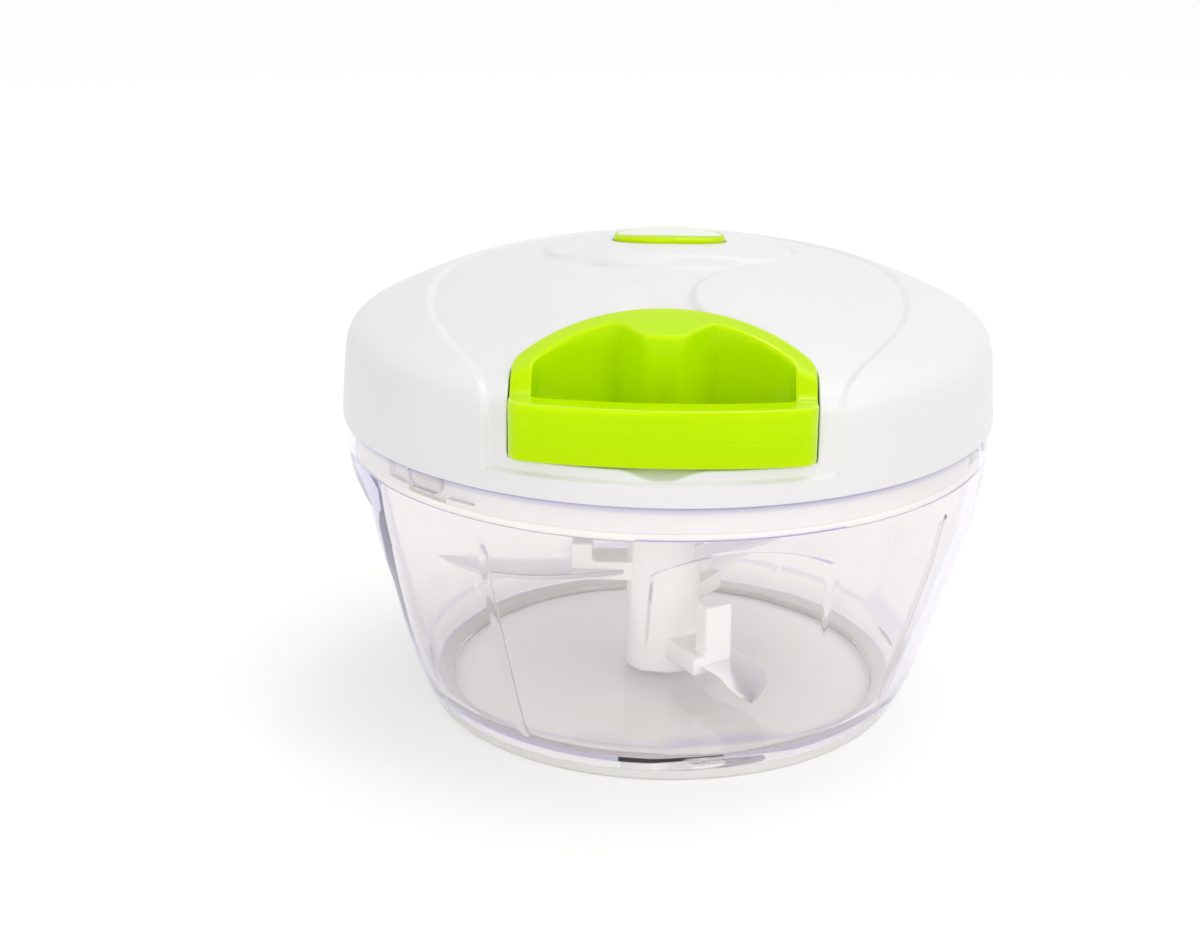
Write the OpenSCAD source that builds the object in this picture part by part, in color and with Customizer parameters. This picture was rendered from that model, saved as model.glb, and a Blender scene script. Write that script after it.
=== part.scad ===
// Pull-cord food chopper: clear bowl, domed lid with a cord reel and return spring inside,
// green pull handle, and a three-blade knife that stands in the bowl.
// Millimetres, +Z up. The origin is the centre of the bowl's foot. The handle faces -Y.

/* [Bowl] */
// Radius of the bowl's outside at its rim
rim_r = 64.6; // [64.2:0.1:65]
// Height of the bowl's rim above the table
rim_z = 60.4; // [59.5:0.1:61.5]
// Thickness of the clear band above the inner ledge
band_wall = 1.8; // [1.6:0.1:2]
// Height of the band between the ledge and the rim
band_h = 6.9; // [6.7:0.1:7.1]
// Thickness of the bowl's wall below the ledge
bowl_wall = 2.5; // [2:0.1:3]
// Thickness of the bowl's floor
floor_t = 2.2; // [1.8:0.1:2.6]
// Number of finger flats, and of the ribs between them
flat_count = 4; // [3:1:4]
// Direction of the first flat, counted from the front towards +X
flat_az = 13.7; // [10:0.1:18]
// Half width of a finger flat
flat_hw = 16.5; // [14:0.5:17]
// Width of a rib inside the bowl
rib_w = 1.6; // [1.2:0.1:2.4]
// How far a rib stands in from the wall
rib_d = 1.0; // [0.6:0.1:1.2]
// Height of the ribs' upper ends
rib_top = 47.5; // [42:0.5:47.5]

/* [Bayonet] */
// Width of a locking lug
lug_w = 9.2; // [8:0.1:9.6]
// Height of a locking lug
lug_h = 3.7; // [3.2:0.1:3.8]
// How far a lug stands in from the band
lug_d = 1.0; // [0.8:0.1:1.1]
// Half angle of the track that holds a lug
track_half = 11; // [10.5:0.1:12]

/* [Foot ring] */
// Outer radius of the silicone foot ring
foot_r = 48.8; // [47.5:0.1:49.2]
// Width of the foot ring
foot_w = 4.4; // [3:0.1:5]
// Height of the foot ring
foot_h = 2.4; // [2:0.1:2.6]

/* [Lid] */
// How far the lid's lower edge stands out past the bowl's rim
lid_over = 0.5; // [0.4:0.1:1.2]
// Height of the lid from its lower edge to its crown
lid_h = 33.8; // [33.4:0.1:34.4]
// Thickness of the lid's skirt
skirt_wall = 2.2; // [2:0.1:2.4]
// Thickness of the lid's dome
dome_wall = 3.2; // [3:0.1:3.6]
// Depth of the leaf panels below the dome
panel_d = 0.8; // [0.4:0.1:1]
// Depth of the waist between the panels below the dome
waist_d = 1.8; // [1.2:0.1:2]
// Length of the raised oval platform
platform_l = 49; // [46:1:50]
// Width of the raised oval platform
platform_w = 28; // [26:1:29]
// Thickness of the lid's inner cover
cover_t = 2; // [1.6:0.1:2.2]
// Thickness of the cover's skirt
cover_skirt = 2.4; // [2.2:0.1:2.8]
// Depth of the seat that holds the oval cap
cap_sink = 1.9; // [1.6:0.1:2.2]
// Number of cover screws
screw_count = 4; // [4:4:4]
// Radius of the circle that the cover screws stand on
screw_circle = 50; // [48:0.5:52]

/* [Top cap] */
// Length of the oval cap
cap_l = 22.6; // [20:0.2:24]
// Width of the oval cap
cap_w = 12; // [9:0.2:12.4]
// Height of the cap above the platform
cap_h = 1.2; // [1:0.1:2]
// Width of the green rim round the white insert
cap_rim = 1.1; // [0.8:0.1:1.6]

/* [Handle] */
// Half width of the pull handle
grip_hw = 26.6; // [25:0.1:27]
// How far the handle's front stands inside the lid's side
grip_in = 0.7; // [0.3:0.1:1.5]
// Distance from the axis to the back of the handle
grip_back = 37; // [36.8:0.1:38]
// Radius of the handle's back curve
grip_curve = 36; // [35:0.5:38]
// Height of the handle's underside above the lid's lower edge
grip_rise = 6.8; // [6.6:0.1:7.4]
// Thickness of the handle's front bar
bar_t = 5.5; // [4.5:0.1:6]
// Height of the handle's front bar
bar_h = 10.4; // [9.6:0.1:11]
// Width of the handle's rim at the sides and back
rim_w = 3.8; // [3.2:0.1:4.2]
// How far the cord boss stands into the finger opening
boss_d = 5.8; // [5:0.1:6.5]
// Radius of the hole that holds the cord's knot
knot_hole_r = 3; // [2.8:0.1:3.2]
// Gap between the handle and its pocket
pocket_gap = 0.8; // [0.5:0.1:1]
// Thickness of the pocket's walls and floor
pocket_wall = 1.8; // [1.5:0.1:2]

/* [Cord and reel] */
// Diameter of the pull cord
cord_d = 1.6; // [1.2:0.1:2]
// Radius of the drum that the cord winds on
drum_r = 14.8; // [14.5:0.1:16]
// Height of the cord groove
groove_h = 5.4; // [5:0.1:5.8]
// Radius of the reel's lower flange
flange_r = 22; // [20:0.5:24]
// Outer radius of the reel's spring cup
cup_r = 29.5; // [28.5:0.1:30]
// Radius of the steel spindle
spindle_r = 2.5; // [2:0.1:2.5]
// Radial running clearance of every shaft in its hole
run_gap = 0.05; // [0.03:0.01:0.08]
// Number of ratchet teeth inside the drum
tooth_count = 12; // [10:2:14]
// Thickness of the mainspring's steel strip
strip_t = 0.5; // [0.4:0.05:0.6]
// Number of turns in the mainspring
strip_turns = 7; // [5:1:9]
// Width of the mainspring's steel strip
strip_w = 5; // [4:0.1:5.2]
// Distance from the lid's crown down to the mainspring
spring_drop = 10.3; // [10:0.1:11]

/* [Drive] */
// Radius of the drive shaft
shaft_r = 6; // [5.8:0.1:6.2]
// Radius of the socket at the shaft's lower end
socket_r = 7.6; // [7:0.1:8]
// Distance across the flats of the blade unit's hexagon
hex_af = 8; // [7:0.1:8.4]
// Clearance across the flats in the hexagon socket
hex_gap = 0.6; // [0.4:0.1:0.8]

/* [Blade unit] */
// Radius of the blade unit's hub
hub_r = 7.8; // [7.4:0.1:8.4]
// Distance from the bowl's ledge down to the hub's shoulder
hub_drop = 6.5; // [6:0.1:8]
// Radius of the steel centre pin
pin_r = 2.5; // [2:0.1:3]
// Height of the centre pin's tip
pin_top = 18; // [14:1:22]
// Thickness of the blades
blade_t = 1; // [0.8:0.1:1.2]
// Height of the lower blade
low_z = 9.5; // [8.5:0.5:10.5]
// Height of the middle blade
mid_z = 16; // [15:0.5:17]
// Height of the upper blade
top_z = 25; // [24:0.5:28]
// Reach of the upper and middle blades
blade_reach = 48; // [42:0.5:48]
// Reach of the lower blade
low_reach = 38; // [32:0.5:42]

/* [Hidden] */
$fn = 96;

fit = 0.3;                          // gap between pieces that move past each other
seat = 0.02;                        // gap between flat faces that rest on each other
snug = 0.05;                        // gap round a piece that is pressed in
over = 1;                           // how far a cut runs past a face
past = 200;                         // length of a cut that runs right through

// Bowl
foot_z = 0.8;                       // underside of the floor inside the foot ring
floor_z = foot_z + floor_t;         // top of the floor
ledge_z = rim_z - band_h;
band_r = rim_r - band_wall;         // inside of the band
bowl_out = [[foot_r + 0.8, foot_h + 0.1], [foot_r + 1.4, 3.2], [51.3, 5], [53.2, 10], [56.4, 20],
            [59.4, 30], [62.3, 40], [63.8, 48], [rim_r - 0.3, ledge_z], [rim_r, rim_z]];
floor_line = [[foot_r - 5.6, floor_z], [foot_r - 2.3, floor_z + 1.1], [foot_r + 0.2, floor_z + 3.4]];
flat_line = [[46.4, 0], [48.1, 2.9], [49.8, 5.6], [52.5, 11], [55.3, 21], [57.5, 31], [59.4, 41], [61.2, 52]];
flat_top = 51.5;                    // crown of a flat's arch
flat_rise = 4;                      // height of the arch
flat_thin = 0.2;                    // how much thinner the wall is behind a flat
pin_seat = 0.6;                     // floor left under the centre pin
pin_tip = [0.8, 1];                 // width and height of the pin's chamfer
collar_r = 4.2;                     // the floor's collar round the pin
collar_h = 3;

// Bayonet
lug_z = rim_z - 2.1;
lug_az = -43;
lug_count = 3;
lug_gap = [0.7, 0.5, 0.4];          // clearance beside, below and above a lug

// Foot ring
ring_edge = 0.5;
ring_lift = 0.4;                    // height of the ring's inner lip

// Lid
lid_r = rim_r + lid_over;
grip_front = lid_r - grip_in;
lid_z = rim_z + 0.1;
top_z0 = lid_z + lid_h;
lid_ctrl = [[lid_r, 0], [lid_r - 0.35, 5.5], [lid_r - 0.7, 9.5], [lid_r - 1.05, 13.3], [lid_r - 1.8, 16.1],
            [lid_r - 3.4, 18.1], [lid_r - 5.6, 19.5], [55.2, 21.5], [50.7, 23.5], [45.5, 25.5],
            [39.3, 27.5], [31.3, 29.5], [20.5, 31.5], [10.8, 33], [0, lid_h]];
field = [[31, -70], [31, -60], [31.4, -54], [34.4, -46.3], [39.5, -36.5], [44, -25], [46, -11], [44.5, 6],
         [37, 24], [21, 36], [0, 40]];
waist = [[8.6, -39.5], [6, -34.8], [4.9, -29.5], [6, -23], [10.2, -17], [16.2, -10.8], [21, -3], [24.4, 5]];
shoulder_h = 16;                    // height where the skirt turns into the dome
ledge_line = lid_z + 4.2;           // lower end of the panels on the skirt
boss_r = 4;                         // screw bosses
screw_az = [-125, -55, 55, 125];
screw_r = 1.25;
screw_hole_r = 1.3;
screw_pass_r = 1.5;
screw_head = [2.8, 1.4];            // radius and height
screw_len = 11;

lid_inner = 1;                      // depth at which the pocket and the bosses join the lid
cap_gap = 0.5;                      // between the cap and its seat
cap_z = top_z0 - cap_sink + seat;
insert_t = 0.9;
insert_z = cap_z + cap_h + cap_sink - 0.8 + seat;

// Lid's inner cover and the seal on it
cover_z = lid_z - 3.2;              // underside of the cover's plate
cover_r = band_r - 0.4;
cover_up = 1.6;                     // how far the skirt stands up inside the lid
seal_h = 1.4;
seal_w = 2.05;
seal_gap = 0.35;                    // between the seal and the band
seal_z = ledge_z + seat;
bush_wall = 2.4;
bush_r = shaft_r + bush_wall;
bush_boss = 2.4;                    // wall of the cover's boss round the bush
bush_z = cover_z - 2;
bush_h = 7;

// Handle and its pocket
grip_z = lid_z + grip_rise;
grip_proud = 0.3;                   // how far the handle's top stands above the dome
front_curve = 105;
back_corner = 4.5;
front_corner = 3.2;
hole_back_corner = 3.4;
hole_front_corner = 1.6;
boss_hw = 9.4;
boss_flat = 2.2;                    // half width of the boss's flat nose
bar_in = 2.5;                       // how far the bar's level top runs in past the finger opening's front
pocket_z = grip_z - 0.4;            // top of the pocket's floor
pocket_back = grip_back - pocket_gap;
pocket_out = 20;                    // how far the pocket's cut runs out past the handle
scoop_r = 8.8;
scoop_d = 1.3;
scoop_in = 7;                       // where the thumb scoop begins behind the handle's front

// Cord, reel and spring
cord_r = cord_d / 2;
plate_t = 1.6;                      // thickness of the reel's flanges and floor
spring_gap = 0.4;                   // clearance above and below the mainspring
spring_z = top_z0 - spring_drop - strip_w;
cup_z = spring_z - spring_gap - plate_t;
groove_z = cup_z - groove_h;
cord_z = groove_z + groove_h / 2;
cup_wall = 1.8;
cup_h = 9;
reel_z = groove_z - 1.2;            // underside of the reel
wind_r = drum_r + cord_r;           // radius of the wound cord's centre line
tube_r = 4;                         // outside of the reel's hub tube
dog_cave_r = 12.4;                  // bottom of the ratchet teeth
tooth_d = 1.4;
anchor_r = 6;                       // lid boss that holds the mainspring's inner end
spring_in = 0.2;                    // between the boss and the strip's first turn
spring_out = cup_r - cup_wall - 1.2;
lid_t = 1;                          // thickness of the spring's cover
guide_y = pocket_back - pocket_wall;
guide_r = 3.15;
guide_hole_r = 3.2;
guide_head = [4.6, 0.9];            // radius and thickness
guide_bore = cord_r + 0.5;
guide_mouth = [cord_r + 1.6, 1.2];  // radius and depth
knot_r = 2.3;
knot_roof = 3.2;                    // height of the knot's hole above the cord
knot_y = grip_back + 5.2;           // centre of the hole that holds the knot
lead_a = acos(wind_r / guide_y);    // the cord leaves the drum on a tangent and runs to the guide
lead_len = sqrt(guide_y * guide_y - wind_r * wind_r);
lead_skip = sqrt(pow(wind_r + cord_d + fit, 2) - wind_r * wind_r);
lead_end = 1.1;                     // gap between the lead and the guide's head
cord_end = 0.6;                     // the pull cord begins inside the guide

// Spindle
spindle_top = top_z0 - 4.3;
spindle_z = reel_z - 0.2;
spindle_tap = 6;                    // depth of the tapped hole in its lower end
end_washer_t = 0.5;
end_screw = [2.7, 1.7];             // radius and height of the head

// Drive
washer_t = 0.6;
clip_z = bush_z + bush_h + washer_t + 2 * seat;
clip_t = 0.8;
clip_groove = 0.8;                  // depth of the clip's groove
clip_out = 1.6;
socket_top = bush_z - fit;
hub_top = ledge_z - hub_drop;
socket_z = hub_top + 0.5;
stub_top = hub_top + 6;
shaft_top = reel_z + 0.2;
dog_z = shaft_top;
dog_h = 3.6;
dog_r = 8;
cave_top = reel_z + 5;
shaft_bore = tube_r + fit;
bore_z = reel_z - 4;

// Blade unit
hub_z = floor_z + 0.4;
arm_w = [3.4, 5.4];                   // how far an arm stands to each side of its blade's middle
arm_h = 4;
arm_r = 19;                         // radius at an arm's end
post_w = [6, 4.4];
post_h = [6, 12.6, 8];
blade_az = [-90, 30, 150];          // upper, lower, middle
blade_z = [top_z, low_z, mid_z];
reach = [blade_reach, low_reach, blade_reach];
eye_r = pin_r + 1.2;                // hole in a blade
back_edge = [[3, 0.04], [7, 0.27], [9.5, 0.54], [7, 0.79], [-1.5, 1]];      // x, and a share of the reach
cutting_edge = [[-1.5, 1], [-2, 0.83], [-1, 0.625], [-2.8, 0.33], [-3, 0.04]];

function lerp(a, b, t) = a + (b - a) * t;
function spline_at(p, i, t) =
    let (a = p[max(i - 1, 0)], b = p[i], c = p[i + 1], d = p[min(i + 2, len(p) - 1)])
    0.5 * ((2 * b) + (c - a) * t + (2 * a - 5 * b + 4 * c - d) * t * t + (3 * b - a - 3 * c + d) * t * t * t);
function smooth(p, n) =
    concat([for (i = [0 : len(p) - 2]) for (k = [0 : n - 1]) spline_at(p, i, k / n)], [p[len(p) - 1]]);
function reverse(p) = [for (i = [len(p) - 1 : -1 : 0]) p[i]];
function mirrored(p) = [for (q = reverse(p)) [-q[0], q[1]]];
function unit(v) = v / norm(v);
function inset(p, d) = [for (i = [0 : len(p) - 1])
    let (a = p[max(i - 1, 0)], b = p[min(i + 1, len(p) - 1)], t = unit(b - a))
    [max(p[i][0] - d[i] * t[1], 0), p[i][1] + d[i] * t[0]]];
function polar(r, a) = [r * cos(a), r * sin(a)];
function arc(c, r, a0, a1, n) = [for (k = [0 : n]) let (a = lerp(a0, a1, k / n)) [c[0] + r * cos(a), c[1] + r * sin(a)]];
function oval(l, w) = [for (k = [0 : 71]) [l / 2 * cos(5 * k), w / 2 * sin(5 * k)]];
function heights(p, z) = [for (q = p) [q[0], q[1] + z]];

// A D shape: flat sides at x = +-hw, a back arc through y = -back and a shallow front arc through -front.
// cr is the radius of the back corners and cf that of the front ones. bump adds the cord boss's bulge.
function dee(hw, back, curve, front, cr, cf, bump = 0) =
    let (yb = -back - curve,
         yf = -front + front_curve,
         cb = [hw - cr, yb + sqrt(pow(curve - cr, 2) - pow(hw - cr, 2))],
         cc = [hw - cf, yf - sqrt(pow(front_curve - cf, 2) - pow(hw - cf, 2))],
         ab = atan2(cb[1] - yb, cb[0]),
         af = atan2(cc[1] - yf, cc[0]),
         xb = curve * cos(ab),
         half = concat(
             [for (k = [0 : 10]) let (x = (front_curve * cos(af)) * k / 10) [x, yf - sqrt(pow(front_curve, 2) - x * x)]],
             arc(cc, cf, af, 0, 5),
             arc(cb, cr, 0, ab, 6),
             [for (k = [1 : 24]) let (x = xb * (1 - k / 24), s = bump / 2 * (1 + cos(180 * min(max(abs(x) - boss_flat, 0) / (boss_hw - boss_flat), 1))))
                 [x, yb + sqrt(pow(curve, 2) - x * x) - s]]))
    concat(half, [for (i = [len(half) - 2 : -1 : 1]) [-half[i][0], half[i][1]]]);

lid_line = heights(smooth(lid_ctrl, 3), lid_z);

module turn(az) rotate([0, 0, az]) children();

// A solid of revolution under the lid's outer line, moved in by d (out where d is negative)
module lid_solid(d = 0) {
    p = inset(lid_line, [for (q = lid_line) d]);
    rotate_extrude() polygon(concat([[0, lid_z - over]], [[p[0][0], lid_z - over]], p, [[0, top_z0 - d]]));
}

module lid_layer(d, outline) {
    difference() {
        translate([0, 0, ledge_line]) linear_extrude(past) polygon(outline);
        lid_solid(d);
    }
}

// One finger flat's cutter, moved in by t; its arch grows by t
module flat_cut(t) {
    hw = flat_hw + t;
    rise_r = (hw * hw + flat_rise * flat_rise) / (2 * flat_rise);
    top = flat_top + t;
    intersection() {
        rotate([90, 0, 90]) linear_extrude(4 * flat_hw, center = true)
            polygon(concat([for (q = flat_line) [-(q[0] - t), q[1]]], [[-past, flat_line[7][1]], [-past, 0]]));
        rotate([90, 0, 0]) linear_extrude(past) intersection() {
            translate([-hw, -over]) square([2 * hw, top + over]);
            translate([0, top - rise_r]) circle(rise_r);
        }
    }
}

module bowl_void() {
    w = bowl_wall;
    rotate_extrude() polygon(concat([[0, floor_z]], floor_line, [for (i = [3 : 7]) [bowl_out[i][0] - w, bowl_out[i][1]]],
        [[bowl_out[8][0] - w, ledge_z], [band_r, ledge_z], [band_r, rim_z + over], [0, rim_z + over]]));
}

// A locking lug on the inside of the band, pointing along -Y
module lug() {
    r = lug_h / 2;
    x = lug_w / 2 - r;
    rotate([90, 0, 0]) translate([0, 0, band_r - lug_d]) {
        for (s = [-x, x]) translate([s, 0, 0]) cylinder(r = r, h = lug_d + band_wall / 2);
        translate([-x, -r, 0]) cube([2 * x, 2 * r, lug_d + band_wall / 2]);
    }
}

module bowl() {
    color([0.93, 0.94, 0.98, 0.45]) {
        difference() {
            rotate_extrude() polygon(concat([[0, foot_z], [foot_r - foot_w, foot_z],
                [foot_r - foot_w, bowl_out[0][1]]], bowl_out, [[0, rim_z]]));
            for (k = [0 : flat_count - 1]) turn(flat_az + 360 / flat_count * k) flat_cut(0);
            difference() {
                bowl_void();
                for (k = [0 : flat_count - 1]) {
                    turn(flat_az + 360 / flat_count * k) flat_cut(bowl_wall - flat_thin);
                    turn(flat_az + 360 / flat_count * (k + 0.5)) rib();
                }
                for (k = [0 : lug_count - 1]) turn(lug_az + 360 / lug_count * k) translate([0, 0, lug_z]) lug();
                cylinder(r = collar_r, h = floor_z + collar_h);
            }
            translate([0, 0, foot_z + pin_seat]) cylinder(r = pin_r, h = pin_top);
        }
    }
}

module rib() {
    intersection() {
        translate([-rib_w / 2, -past, 0]) cube([rib_w, past, rib_top]);
        difference() {
            cylinder(r = past, h = rib_top);
            rotate_extrude() polygon(concat([[0, floor_z - over], [floor_line[1][0], floor_z - over]],
                [for (i = [3 : 7]) [bowl_out[i][0] - bowl_wall - rib_d, bowl_out[i][1]]], [[0, bowl_out[7][1]]]));
        }
    }
}

module base_ring() {
    r0 = foot_r - foot_w + snug;
    color([0.94, 0.94, 0.93]) rotate_extrude() polygon([[r0, ring_lift], [r0 + ring_lift, 0], [foot_r - ring_edge, 0],
        [foot_r, ring_edge], [foot_r, foot_h], [r0, foot_h]]);
}

module centre_pin() {
    h = pin_top - foot_z - pin_seat - pin_tip[1];
    color("silver") translate([0, 0, foot_z + pin_seat]) {
        cylinder(r = pin_r, h = h);
        translate([0, 0, h]) cylinder(r1 = pin_r, r2 = pin_r - pin_tip[0], h = pin_tip[1]);
    }
}

module seal_ring() {
    color([0.95, 0.95, 0.94]) translate([0, 0, seal_z]) difference() {
        cylinder(r = band_r - seal_gap, h = seal_h);
        translate([0, 0, -over]) cylinder(r = band_r - seal_gap - seal_w, h = seal_h + 2 * over);
    }
}

function pocket_shape(g) =
    dee(grip_hw + g, grip_back - g, grip_curve + g, grip_front + pocket_out, back_corner + g, front_corner);

// A thumb scoop in the pocket's floor, under the middle of the handle's front
module scoop() {
    translate([0, -grip_front + scoop_in, pocket_z - scoop_d + scoop_r]) rotate([90, 0, 0])
        cylinder(r = scoop_r, h = pocket_out);
}

module screw_places() {
    for (a = screw_az) turn(a) translate([0, -screw_circle, 0]) children();
}

module lid() {
    walls = [for (q = lid_line) q[1] > lid_z + shoulder_h ? dome_wall : skirt_wall];
    color([0.96, 0.96, 0.96]) difference() {
        union() {
            difference() {
                lid_solid(0);
                rotate_extrude() polygon(concat([[0, lid_z - 2 * over]], [[lid_r - skirt_wall, lid_z - 2 * over]],
                    inset(lid_line, walls)));
                translate([0, 0, lid_z - past]) cylinder(r = lid_r + over, h = past);
            }
            intersection() {
                translate([0, 0, pocket_z - pocket_wall]) linear_extrude(past)
                    polygon(pocket_shape(pocket_gap + pocket_wall));
                lid_solid(lid_inner);
            }
            intersection() {
                translate([0, 0, spring_z + spring_gap]) cylinder(r = anchor_r, h = past);
                lid_solid(lid_inner);
            }
            intersection() {
                screw_places() translate([0, 0, cover_z + cover_t + seat]) cylinder(r = boss_r, h = past);
                lid_solid(lid_inner);
            }
        }
        translate([0, 0, pocket_z]) linear_extrude(past) polygon(pocket_shape(pocket_gap));
        scoop();
        difference() {
            lid_layer(panel_d, concat(smooth(field, 3), mirrored(smooth(field, 3))));
            linear_extrude(past) polygon(oval(platform_l, platform_w));
        }
        difference() {
            lid_layer(waist_d, concat(smooth(waist, 3), mirrored(smooth(waist, 3))));
            linear_extrude(past) polygon(oval(platform_l, platform_w));
        }
        translate([0, 0, top_z0 - cap_sink]) linear_extrude(past) polygon(oval(cap_l + 2 * cap_gap, cap_w + 2 * cap_gap));
        translate([0, 0, spring_z]) cylinder(r = spindle_r, h = spindle_top - spring_z);
        screw_places() translate([0, 0, cover_z]) cylinder(r = screw_hole_r, h = screw_len);
        rotate([90, 0, 0]) translate([0, cord_z, guide_y - over]) cylinder(r = guide_hole_r, h = pocket_wall + 2 * over);
    }
}

module track() {
    // A shallow window in the cover's skirt that holds a lug, with a way in from below
    r_in = band_r - lug_d - lug_gap[1];
    z0 = lug_z - lug_h / 2 - lug_gap[1];
    z1 = lug_z + lug_h / 2 + lug_gap[2];
    half = asin((lug_w / 2 + lug_gap[0]) / band_r);
    for (w = [[track_half, z0, z1], [half, seal_z - over, lug_z]]) translate([0, 0, w[1]])
        rotate([0, 0, -90 - w[0]]) rotate_extrude(angle = 2 * w[0]) translate([r_in, 0])
            square([lid_r - r_in, w[2] - w[1]]);
}

module lid_cover() {
    color([0.95, 0.95, 0.95]) difference() {
        union() {
            difference() {
                translate([0, 0, seal_z + seal_h + seat]) cylinder(r = cover_r, h = lid_z + cover_up - seal_z - seal_h);
                translate([0, 0, seal_z]) cylinder(r = cover_r - cover_skirt, h = cover_z - seal_z);
                translate([0, 0, cover_z + cover_t]) cylinder(r = cover_r - cover_skirt, h = past);
            }
            translate([0, 0, bush_z]) cylinder(r = bush_r + bush_boss, h = bush_h);
        }
        translate([0, 0, bush_z - over]) cylinder(r = bush_r, h = bush_h + 2 * over);
        for (k = [0 : lug_count - 1]) turn(lug_az + 360 / lug_count * k) track();
        screw_places() translate([0, 0, cover_z - over]) cylinder(r = screw_pass_r, h = cover_t + 2 * over);
    }
}

module cover_screws() {
    color("silver") screw_places() translate([0, 0, cover_z - screw_head[1]]) {
        cylinder(r = screw_head[0], h = screw_head[1] - seat);
        cylinder(r = screw_r, h = screw_len);
    }
}

module top_cap() {
    color([0.72, 0.9, 0.02]) difference() {
        translate([0, 0, cap_z]) linear_extrude(cap_h + cap_sink) polygon(oval(cap_l, cap_w));
        translate([0, 0, insert_z - seat]) linear_extrude(past) polygon(oval(cap_l - 2 * cap_rim, cap_w - 2 * cap_rim));
    }
}

module cap_insert() {
    color([0.97, 0.98, 0.95]) translate([0, 0, insert_z]) linear_extrude(insert_t)
        polygon(oval(cap_l - 2 * cap_rim - 4 * snug, cap_w - 2 * cap_rim - 4 * snug));
}

module cord_guide() {
    t = guide_head[1];
    color("dimgray") rotate([90, 0, 0]) translate([0, cord_z, guide_y - t]) difference() {
        union() {
            translate([0, 0, -seat]) cylinder(r = guide_head[0], h = t);
            cylinder(r = guide_r, h = pocket_wall + t);
        }
        translate([0, 0, -over]) cylinder(r = guide_bore, h = pocket_wall + t + 2 * over);
        translate([0, 0, -2 * seat]) cylinder(r1 = guide_mouth[0], r2 = guide_bore, h = guide_mouth[1]);
    }
}

module spindle() {
    color("silver") translate([0, 0, spindle_z]) difference() {
        cylinder(r = spindle_r, h = spindle_top - spindle_z);
        translate([0, 0, -over]) cylinder(r = screw_r, h = spindle_tap + over);
    }
}

module spindle_washer() {
    color("silver") translate([0, 0, spindle_z - end_washer_t - seat]) difference() {
        cylinder(r = tube_r - 0.2, h = end_washer_t);
        translate([0, 0, -over]) cylinder(r = screw_r + 2 * snug, h = end_washer_t + 2 * over);
    }
}

module spindle_screw() {
    color("silver") translate([0, 0, spindle_z - end_washer_t - 2 * seat]) {
        translate([0, 0, -end_screw[1]]) cylinder(r = end_screw[0], h = end_screw[1]);
        cylinder(r = screw_r - snug, h = spindle_tap);
    }
}

module mainspring() {
    // A clock spring: its inner end is held by the lid's boss and its outer end by the reel's cup
    n = 24 * strip_turns;
    r0 = anchor_r + spring_in;
    pitch = (spring_out - r0 - strip_t) / strip_turns;
    inner = [for (k = [0 : n]) let (a = 15 * k, r = r0 + pitch * k / 24) [r * cos(a), r * sin(a)]];
    outer = [for (k = [n : -1 : 0]) let (a = 15 * k, r = r0 + strip_t + pitch * k / 24) [r * cos(a), r * sin(a)]];
    color("lightsteelblue") translate([0, 0, spring_z]) linear_extrude(strip_w) polygon(concat(inner, outer));
}

module spring_cover() {
    color([0.9, 0.9, 0.9]) translate([0, 0, spring_z + strip_w + spring_gap]) difference() {
        cylinder(r = cup_r - cup_wall - snug, h = lid_t);
        translate([0, 0, -over]) cylinder(r = anchor_r + 2 * fit, h = lid_t + 2 * over);
    }
}

// Saw teeth inside the drum: a star that is cut out of the ring
module ratchet_star() {
    step = 360 / tooth_count;
    polygon([for (k = [0 : tooth_count - 1]) for (q = [[dog_cave_r, 0], [dog_cave_r - tooth_d * 0.6, step * 0.5],
        [dog_cave_r - tooth_d, step * 0.88]]) polar(q[0], k * step + q[1])]);
}

module reel() {
    color([0.9, 0.92, 0.95]) difference() {
        union() {
            translate([0, 0, reel_z]) cylinder(r = flange_r, h = groove_z - reel_z);
            translate([0, 0, reel_z]) cylinder(r = drum_r, h = cup_z - reel_z + plate_t / 2);
            translate([0, 0, cup_z]) cylinder(r = cup_r, h = cup_h);
        }
        translate([0, 0, cup_z + plate_t]) cylinder(r = cup_r - cup_wall, h = cup_h);
        translate([0, 0, reel_z - over]) cylinder(r = spindle_r + run_gap, h = past);
        difference() {
            translate([0, 0, reel_z - over]) linear_extrude(cave_top - reel_z + over) ratchet_star();
            cylinder(r = tube_r, h = past);
        }
    }
}

module wound_cord() {
    // Turns of cord lying side by side on the drum
    turns = floor((groove_h - 0.1) / cord_d);
    z0 = cord_z - (turns - 1) / 2 * cord_d;
    color([0.95, 0.95, 0.92]) rotate_extrude() difference() {
        for (k = [0 : turns - 1]) translate([wind_r, z0 + k * cord_d]) square([cord_d - 0.1, cord_d], center = true);
        square([drum_r + seat, past]);
    }
}

module cord_lead() {
    t = [-wind_r * sin(lead_a), -wind_r * cos(lead_a)];
    dir = ([0, -guide_y] - t) / lead_len;
    s = t + dir * lead_skip;
    color([0.95, 0.95, 0.92]) translate([s[0], s[1], cord_z]) rotate([0, 90, atan2(dir[1], dir[0])])
        cylinder(r = cord_r, h = lead_len - lead_skip - lead_end);
}

module pull_cord() {
    color([0.95, 0.95, 0.92]) rotate([90, 0, 0]) translate([0, cord_z, guide_y - cord_end])
        cylinder(r = cord_r, h = knot_y - knot_hole_r + seat - guide_y + cord_end);
}

module cord_knot() {
    color([0.95, 0.95, 0.92]) translate([0, -knot_y + knot_hole_r - knot_r - fit, cord_z]) sphere(r = knot_r, $fn = 32);
}

module grip(h) {
    translate([0, 0, grip_z]) linear_extrude(h)
        polygon(dee(grip_hw, grip_back, grip_curve, grip_front, back_corner, front_corner));
}

// What lies in front of the level bar's inner edge
module bar_side() {
    translate([-past, bar_t + bar_in - grip_front - 2 * past, 0]) cube(2 * past);
}

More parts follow.
